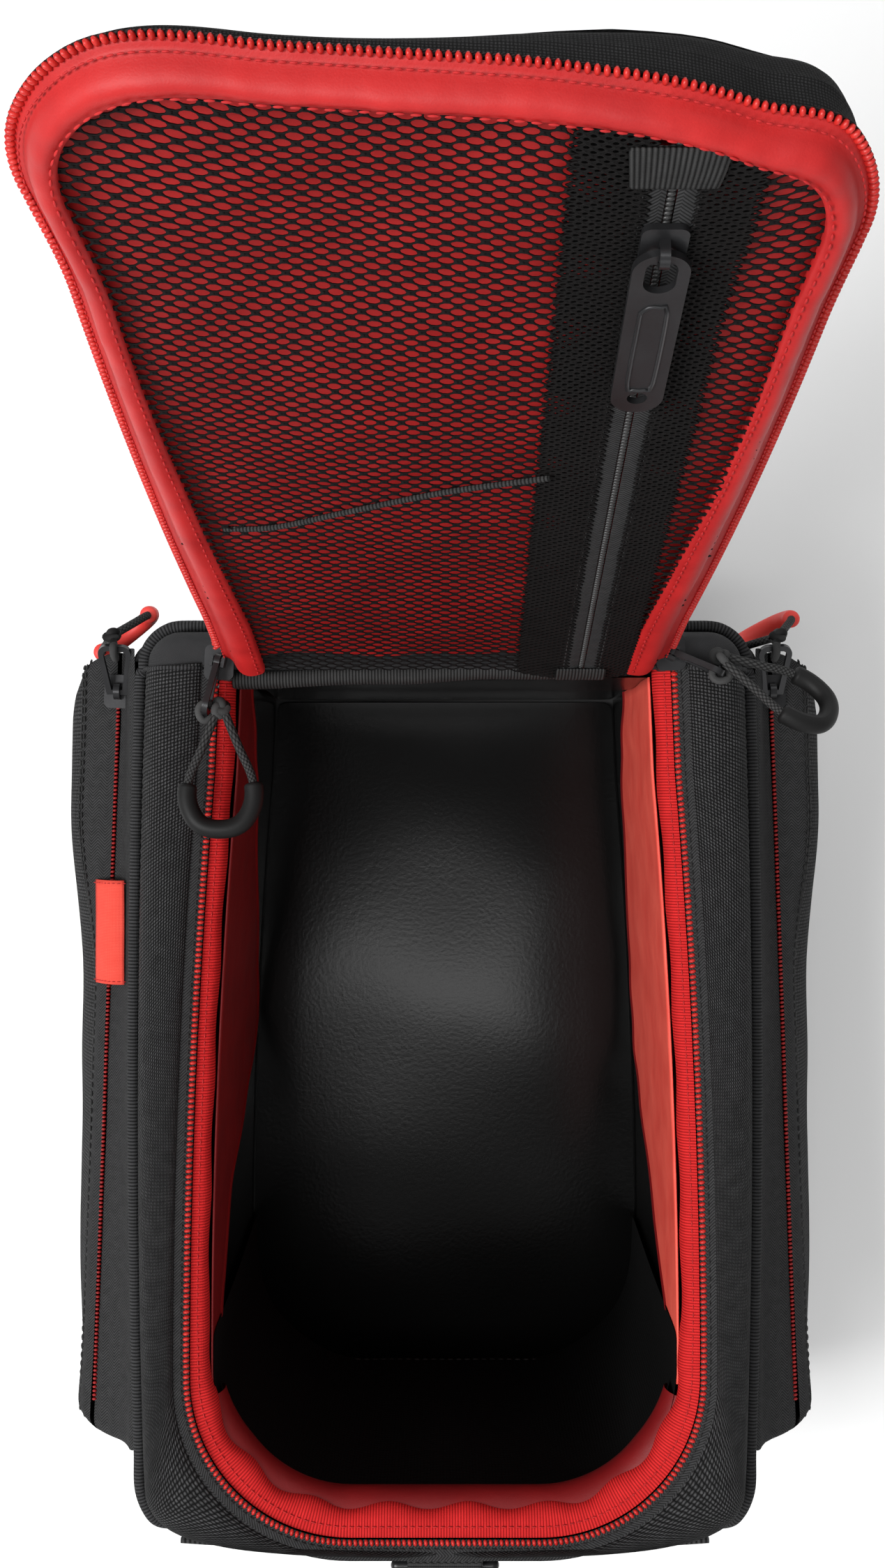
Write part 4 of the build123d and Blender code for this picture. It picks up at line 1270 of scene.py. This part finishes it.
def make_hitch(kind, side, body, knot):
    """The cord's short loop from the knot round the tab's far bar."""
    up = Vector((0, 0, 1))
    tab = box_centre(f"{kind}_tab_{side}")
    out = tab - box_centre(f"{kind}_slider_{side}")
    if kind == "main":
        out.z = 0
        out.normalize()
        bar = tab + out * 8.6
        bar.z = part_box(f"{kind}_tab_{side}")[1].z / MM - 5.2
        lift = out.cross(up)
    else:
        out.normalize()
        bar = tab + out * 7.9
        lift = up
    if (knot - bar).dot(lift) > 0:
        lift = -lift
    turns = ((-2.6, -1.4), (-2.2, 1.6), (0.0, 2.3), (2.2, 1.0), (2.3, -1.2))
    loop = [knot, *(bar + out * x + lift * y for x, y in turns), knot]
    piece = tube_mesh(f"{kind}_cord_hitch_{side}", curve_through(loop, 0.8), 1.2, sides=10)
    place_piece(piece, "black_cord", body)


# Raised rim of the mesh pocket's long pull: its outline round the zip's line, and its front
# face's height in the lid
PULL_RIM = ((-2.7, -72.0), (-2.7, -46.0), (-1.2, -43.6), (1.2, -43.6), (2.7, -46.0), (2.7, -72.0),
            (1.2, -74.0), (-1.2, -74.0), (-2.7, -72.0))
PULL_FACE_W = -11.7


def make_hardware():
    """Sliders, tabs, the mesh pocket's pull and the D-ring keep their CAD shapes."""
    for side, _ in SIDES:
        for node in ("main_slider", "main_tab", "pocket_slider", "pocket_tab"):
            set_finish(f"{node}_{side}", "dark_metal", bevel=0.22)
    set_finish("mesh_slider", "dark_metal", bevel=0.22)
    set_finish("mesh_pull", "dark_metal", bevel=0.3)
    set_finish("front_ring", "black_plastic")
    path = curve_through([unturned_lid_point(MESH_ZIP_X + x, y, PULL_FACE_W) for x, y in PULL_RIM], 1.0)
    place_piece(tube_mesh("mesh_pull_rim", path, 0.5, sides=8, closed=True), "dark_metal", "mesh_pull")


# ---------------------------------------------------------------- front strap and ring

def make_front():
    """Ribbed webbing across the front, and the stitched fold that holds the D-ring."""
    low, high = (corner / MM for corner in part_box("front_strap"))
    half = high.x + 1.0
    levels = ((high.z - 1.5, -0.2), (high.z, 0.9), (high.z - 0.2, 2.3), (high.z - 2.0, 2.9),
              ((high.z + low.z) / 2, 3.0), (low.z + 1.5, 2.8), (low.z, 1.2), (low.z + 1.0, 0.1))
    rows = [[(x, body_front_y(x) - 1.0 - out, z) for x in steps(-half, half, 61)] for z, out in levels]
    cloth("front_webbing", rows, "black_webbing", replaces=["front_strap"], flip=True)
    low, high = (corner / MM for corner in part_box("ring_tab"))
    y_bar = low.y + 3.75
    front = BODY_FRONT_Y
    loop = ((front + 7.0, 12.0), (front + 2.0, 10.0), (front - 1.6, 5.6), (y_bar - 0.6, 3.7),
            (y_bar - 3.2, 1.8), (y_bar - 3.4, -1.6), (y_bar - 0.8, -3.6), (front - 1.2, -4.0),
            (front - 3.6, -10.0), (front - 4.6, -18.0))  # y, and height above the ring's bar
    fine = curve_through([(0, y, (low.z + high.z) / 2 + rise) for y, rise in loop], 1.2)
    rows = [[(x, p.y, p.z) for p in fine] for x in steps(-12, 12, 17)]
    fold = cloth("ring_webbing", rows, "black_webbing", replaces=["ring_tab"], soft=False)
    thicken(fold, 1.0)
    for number, share in enumerate((0.12, 0.2)):
        point = fine[int(len(fine) * share)]
        seam = [(x, point.y - 0.3, point.z + 0.5) for x in range(-11, 12)]
        stitches(f"ring_seam_{number}", seam, pitch=2.2, size=(1.6, 0.7, 0.6))


def make_rear_webbing():
    """Short webbing ends sewn beside the rear of the pockets."""
    for label, sign in SIDES:
        rows = []
        for share in steps(0, 1, 9):
            y = 138.4 + 7.6 * share
            z = 153.0 - 3.0 * share - 22.0 * share**3
            shift = 3.0 * (1 - share)
            columns = enumerate(steps(87, 98, 9))
            rows.append([(sign * (x + shift), y - 0.25 * i, z - 0.3 * i) for i, x in columns])
        strip = cloth(f"rear_webbing_{label}", rows, "black_webbing", flip=sign > 0, soft=False)
        thicken(strip, 1.2)


# ---------------------------------------------------------------- studio

def area_light(name, place, target, size, power):
    data = bpy.data.lights.new(name, "AREA")
    data.shape = "RECTANGLE"
    data.size, data.size_y = size
    data.energy = power
    light = bpy.data.objects.new(name, data)
    light.location = place
    light.rotation_euler = (Vector(target) - Vector(place)).to_track_quat("-Z", "Y").to_euler()
    bpy.context.scene.collection.objects.link(light)


def make_studio():
    """Camera straight above, soft lights and a pale floor."""
    camera_data = bpy.data.cameras.new("camera")
    camera_data.lens = 40.26
    camera_data.sensor_width = 36
    camera = bpy.data.objects.new("camera", camera_data)
    camera.location = (-0.0008, 0.097, 0.721)
    bpy.context.scene.collection.objects.link(camera)
    bpy.context.scene.camera = camera
    world = bpy.data.worlds.new("studio")
    world.use_nodes = True
    world.node_tree.nodes["Background"].inputs[0].default_value = (1, 1, 1, 1)
    world.node_tree.nodes["Background"].inputs[1].default_value = 0.40
    bpy.context.scene.world = world
    area_light("key", (-0.75, -0.15, 1.25), (0.05, 0, 0.12), (0.45, 0.8), 19)
    area_light("overhead", (0.0, -0.14, 1.5), (0.0, -0.02, 0), (0.42, 0.12), 2.3)
    area_light("front", (0.2, -1.3, 0.9), (0, 0.05, 0.25), (1.2, 0.7), 4)
    area_light("rear", (0.5, 1.2, 1.0), (0, 0.1, 0.2), (1.0, 0.6), 4)
    points = [(-3000, -3000, 0), (3000, -3000, 0), (3000, 3000, 0), (-3000, 3000, 0)]
    floor = mesh_object("studio_floor", points, [(0, 1, 2, 3)], smooth=False)
    material, tree, shader = new_material("floor_paper", 0.9, specular=0.1)
    colour_by(tree, shader, noise_value(tree, 4, 2), (0.90, 0.90, 0.90), (0.93, 0.93, 0.93))
    floor.data.materials.append(material)
    bpy.context.scene.view_settings.view_transform = "Standard"


def main():
    make_studio()
    for kind, grip in (("main", "black_rubber"), ("pocket", "red_rubber")):
        for side, _ in SIDES:
            make_pull(kind, side, grip)
    make_rim()
    make_walls()
    make_piping()
    make_base()
    make_body_zip()
    make_hinge()
    make_linings()
    for label, sign in SIDES:
        make_pocket(label, sign)
    make_tag()
    make_lid_shell()
    make_lid_zip()
    make_lid_border()
    make_mesh_pocket()
    make_mesh_dark_line()
    make_hardware()
    make_front()
    make_rear_webbing()


main()
